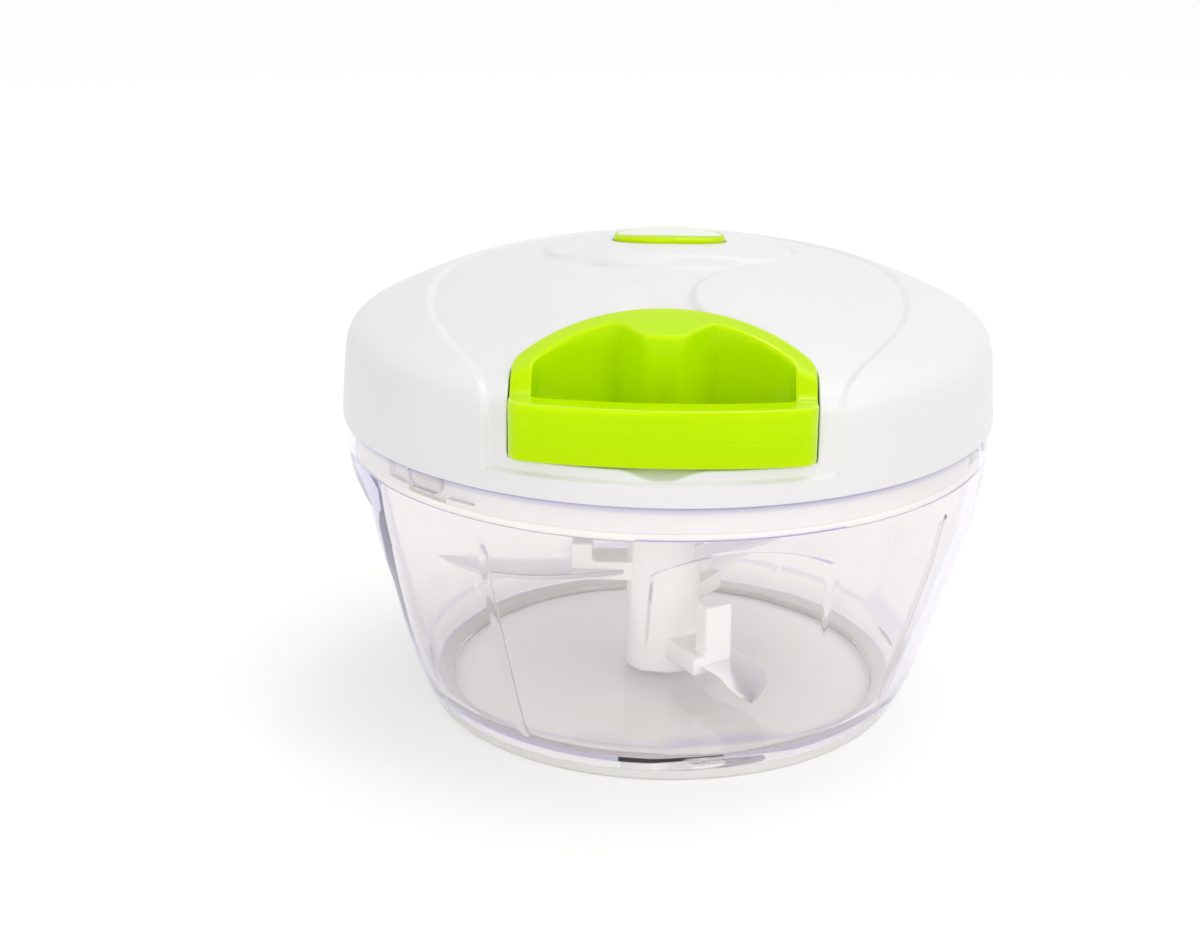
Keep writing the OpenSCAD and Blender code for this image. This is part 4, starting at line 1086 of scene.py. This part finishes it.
def cut_row(a, b):
    """A closed section of the handle, from its outer line to its hole: out, up, over, down and back."""
    n, many = 400, 900
    over = a + (b - a) * np.linspace(0, 1, n)[:, None]
    follow = np.interp(np.linalg.norm(over, axis=1), proud_r, proud_z)
    fall = bar_top + fall_slope * fall_bend * np.log1p(np.exp((over[:, 1] - fall_start) / fall_bend))
    top = np.column_stack([over, np.maximum(lower_of(follow, fall, 0.2), bar_top)])
    low_a, low_b = np.array([*a, grip_low]), np.array([*b, grip_low])
    line = np.concatenate([[low_a], top, [low_b], [low_a]])
    run = along(line)
    marks = [0, run[1], run[n], run[n + 1], run[-1]]
    fine = between_points(np.linspace(0, run[-1], many, endpoint=False), run, line)
    gap, lap = run[-1] / many, 60
    fine = blurred(np.concatenate([fine[-lap:], fine, fine[:lap]]), lap, gap, edge_round)
    spots = []
    for lo, hi, inner in zip(marks, marks[1:], (14, 18, 18, 8)):
        near = np.array([0, 0.2, 0.4, 0.65, 0.95]) * min(1, (hi - lo) / 2.4)
        spots += [*(lo + near), *np.linspace(lo + near[-1], hi - near[-1], inner)[1:-1], *(hi - near[:0:-1])]
    return between_points(np.array(spots) / gap, np.arange(many + 1), np.concatenate([fine, fine[:1]]))


sections = np.array([cut_row(a, b) for a, b in zip(outside_line, hole_line)])
points, faces = skin(list(sections), wrap=True)
handle_mesh = smooth_mesh("handle", points, faces, lime_abs)
turn_out(handle_mesh)


def drilled(mesh, *holes):
    """The mesh with round holes cut out, each from one point to another with a radius."""
    cutters = []
    for start, end, radius in holes:
        start, end = Vector(start) * MM, Vector(end) * MM
        turn = (end - start).to_track_quat("Z", "Y").to_matrix().to_4x4()
        pin = bmesh.new()
        bmesh.ops.create_cone(pin, cap_ends=True, segments=48, radius1=radius * MM, radius2=radius * MM,
                              depth=(end - start).length, matrix=Matrix.Translation((start + end) / 2) @ turn)
        pin_mesh = bpy.data.meshes.new("drill")
        pin.to_mesh(pin_mesh)
        pin.free()
        cutters.append(put("drill", pin_mesh))
    result = finished(mesh, *[("BOOLEAN", {"object": cutter, "solver": "EXACT"}) for cutter in cutters])
    for cutter in cutters:
        bpy.data.objects.remove(cutter)
    return result


hole_y, hole_top, knot_hole, cord_hole = -42.2, 77.5, 3.0, 1.1
handle_mesh = drilled(handle_mesh, ((0, hole_y, grip_low - 2), (0, hole_y, hole_top), knot_hole),
                      ((0, -35, guide_z), (0, hole_y, guide_z), cord_hole))
pull_handle = riding("pull_handle", handle_mesh, "handle")
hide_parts("handle")

# ---- Pull cord and knot -------------------------------------------------------------------
# Braided polyester, 1.6 mm thick. It leaves the guide in the pocket's back wall, runs into the
# handle's rear boss and ends there in a knot. The rest is wound on the reel.


def tube(path, radius, columns=16):
    """Rings round a path, and the faces between them."""
    path = np.asarray(path, float)
    way = unit(np.gradient(path, axis=0))
    up = np.array([0.0, 0.0, 1.0]) if abs(way[0][2]) < 0.9 else np.array([1.0, 0.0, 0.0])
    rings = []
    a = np.arange(columns) * 2 * math.pi / columns
    for spot, ahead in zip(path, way):
        up = up - ahead * (up @ ahead)
        up /= np.linalg.norm(up)
        side = np.cross(ahead, up)
        rings.append(spot + radius * (np.cos(a)[:, None] * up + np.sin(a)[:, None] * side))
    return rings


def braided_polyester(name, pale, dark):
    """Braided polyester: two crossed sets of strands 0.4 mm wide, matt with a little sheen, with painted
    shade in the grooves between them.
    """
    material, tree = new_material(name)
    where = add(tree, "TexCoord").outputs["Object"]
    strands = []
    for lean in (0.7, -0.7):
        turned_way = add(tree, "Mapping", {"Vector": where, "Rotation": (0.0, lean, lean)})
        wave = add(tree, "TexWave", {"Vector": turned_way, "Scale": 780.0, "Distortion": 0.6})
        strands.append(wave.outputs["Fac"])
    braid = add(tree, "Math", {0: strands[0], 1: strands[1]}, operation="MAXIMUM")
    bump = add(tree, "Bump", {"Height": braid, "Strength": 0.7, "Distance": 0.0001})
    # Painted shade: the dark colour goes into the low parts of the braid, the grooves between strands.
    shade = add(tree, "Mix", {"Factor": braid, 6: dark, 7: pale}, data_type="RGBA")
    yarn = add(tree, "BsdfPrincipled", {"Base Color": shade.outputs[2], "Roughness": 0.75,
                                                  "Sheen Weight": 0.3, "Normal": bump})
    add(tree, "OutputMaterial", {"Surface": yarn})
    return material


cord_yarn = braided_polyester("braided_polyester", "F2F1EA", "C9C7BE")
cord_low, cord_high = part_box("pull_cord")
cord_z = middle_of("pull_cord", 2)
cord_r = (cord_high.x - cord_low.x) / 2 / MM
run_y = np.linspace(cord_high.y / MM, cord_low.y / MM, 29)
rings = tube([(0, y, cord_z) for y in run_y], cord_r * 0.97)
points, faces = skin([(0, run_y[0], cord_z), *rings, (0, run_y[-1], cord_z)])
pull_cord = make("braided_pull_cord", points, faces, cord_yarn, "lid", "cord")
pull_cord.parent = None
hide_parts("pull_cord")

knot_y = middle_of("cord_knot", 1)
turn = np.linspace(0, 2 * math.pi, 97)[:-1]
wide = 1.15 + 0.42 * np.cos(3 * turn)
loop = np.stack([wide * np.cos(2 * turn), 0.62 * np.sin(3 * turn), wide * np.sin(2 * turn)], 1)
knot_rings = tube(np.concatenate([loop, loop[:1]]) + [0, knot_y, cord_z], 0.68, 12)[:-1]
knot = make("tied_knot", *skin(knot_rings, wrap=True), cord_yarn, "handle", "cord")
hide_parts("cord_knot")

# ---- Cover and seal -----------------------------------------------------------------------
# A white ABS plate screwed under the lid closes the works. Its skirt reaches down into the
# bowl's band, with windows for the lugs, and rests on a silicone ring on the bowl's ledge.


def finish_nodes(material, *nodes):
    """Gives CAD nodes a material."""
    for node in nodes:
        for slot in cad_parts[node].material_slots:
            slot.material = material


# The cover's white ABS is written a shade darker than the lid's: painted shade for its place under the lid,
# behind the bowl's band.
cover_abs_painted_shade = white_plastic("white_abs_cover_painted_shade", "E9E9EB", "E6E6E8", 0.36, 0.2)
finish_nodes(cover_abs_painted_shade, "lid_cover")
finish_nodes(silicone, "seal_ring")

# ---- Reel, return spring and drive --------------------------------------------------------
# All out of sight: an acetal reel on a steel spindle winds the cord, a blued clock spring turns
# it back, and its ratchet drives the acetal shaft that the blade unit plugs into.


def machined(name, pale, dark, roughness, metallic, fineness):
    """A plain working surface, with the fine marks of how it was made, fineness per metre."""
    material, tree = new_material(name)
    marks, bump = relief(tree, add(tree, "TexCoord").outputs["Object"], fineness, 3.0, 0.2, 0.00003)
    shade = add(tree, "Mix", {"Factor": marks, 6: dark, 7: pale}, data_type="RGBA")
    surface = add(tree, "BsdfPrincipled", {"Base Color": shade.outputs[2], "Roughness": roughness,
                                           "Metallic": metallic, "Normal": bump})
    add(tree, "OutputMaterial", {"Surface": surface})
    return material


finish_nodes(machined("turned_stainless_steel", "D2D2D5", "B8B8BC", 0.28, 1.0, 1800.0),
             "centre_pin", "spindle", "spindle_washer", "spindle_screw", "cover_screws", "thrust_washer")
finish_nodes(machined("blued_spring_steel", "6F7685", "4D5362", 0.34, 1.0, 900.0), "mainspring", "shaft_clip")
finish_nodes(machined("moulded_acetal", "DCDEDD", "D4D6D5", 0.45, 0.0, 700.0),
             "reel", "spring_cover", "drive_dog", "drive_shaft")
finish_nodes(machined("oiled_nylon", "CBC0A6", "BFB398", 0.5, 0.0, 700.0), "shaft_bush")
finish_nodes(machined("black_nylon", "46464A", "3A3A3E", 0.5, 0.0, 700.0), "cord_guide")
finish_nodes(cord_yarn, "wound_cord", "cord_lead")

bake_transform(pull_cord)

size = {"cad": cad_bounds, "visual": [list(corner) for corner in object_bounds()]}
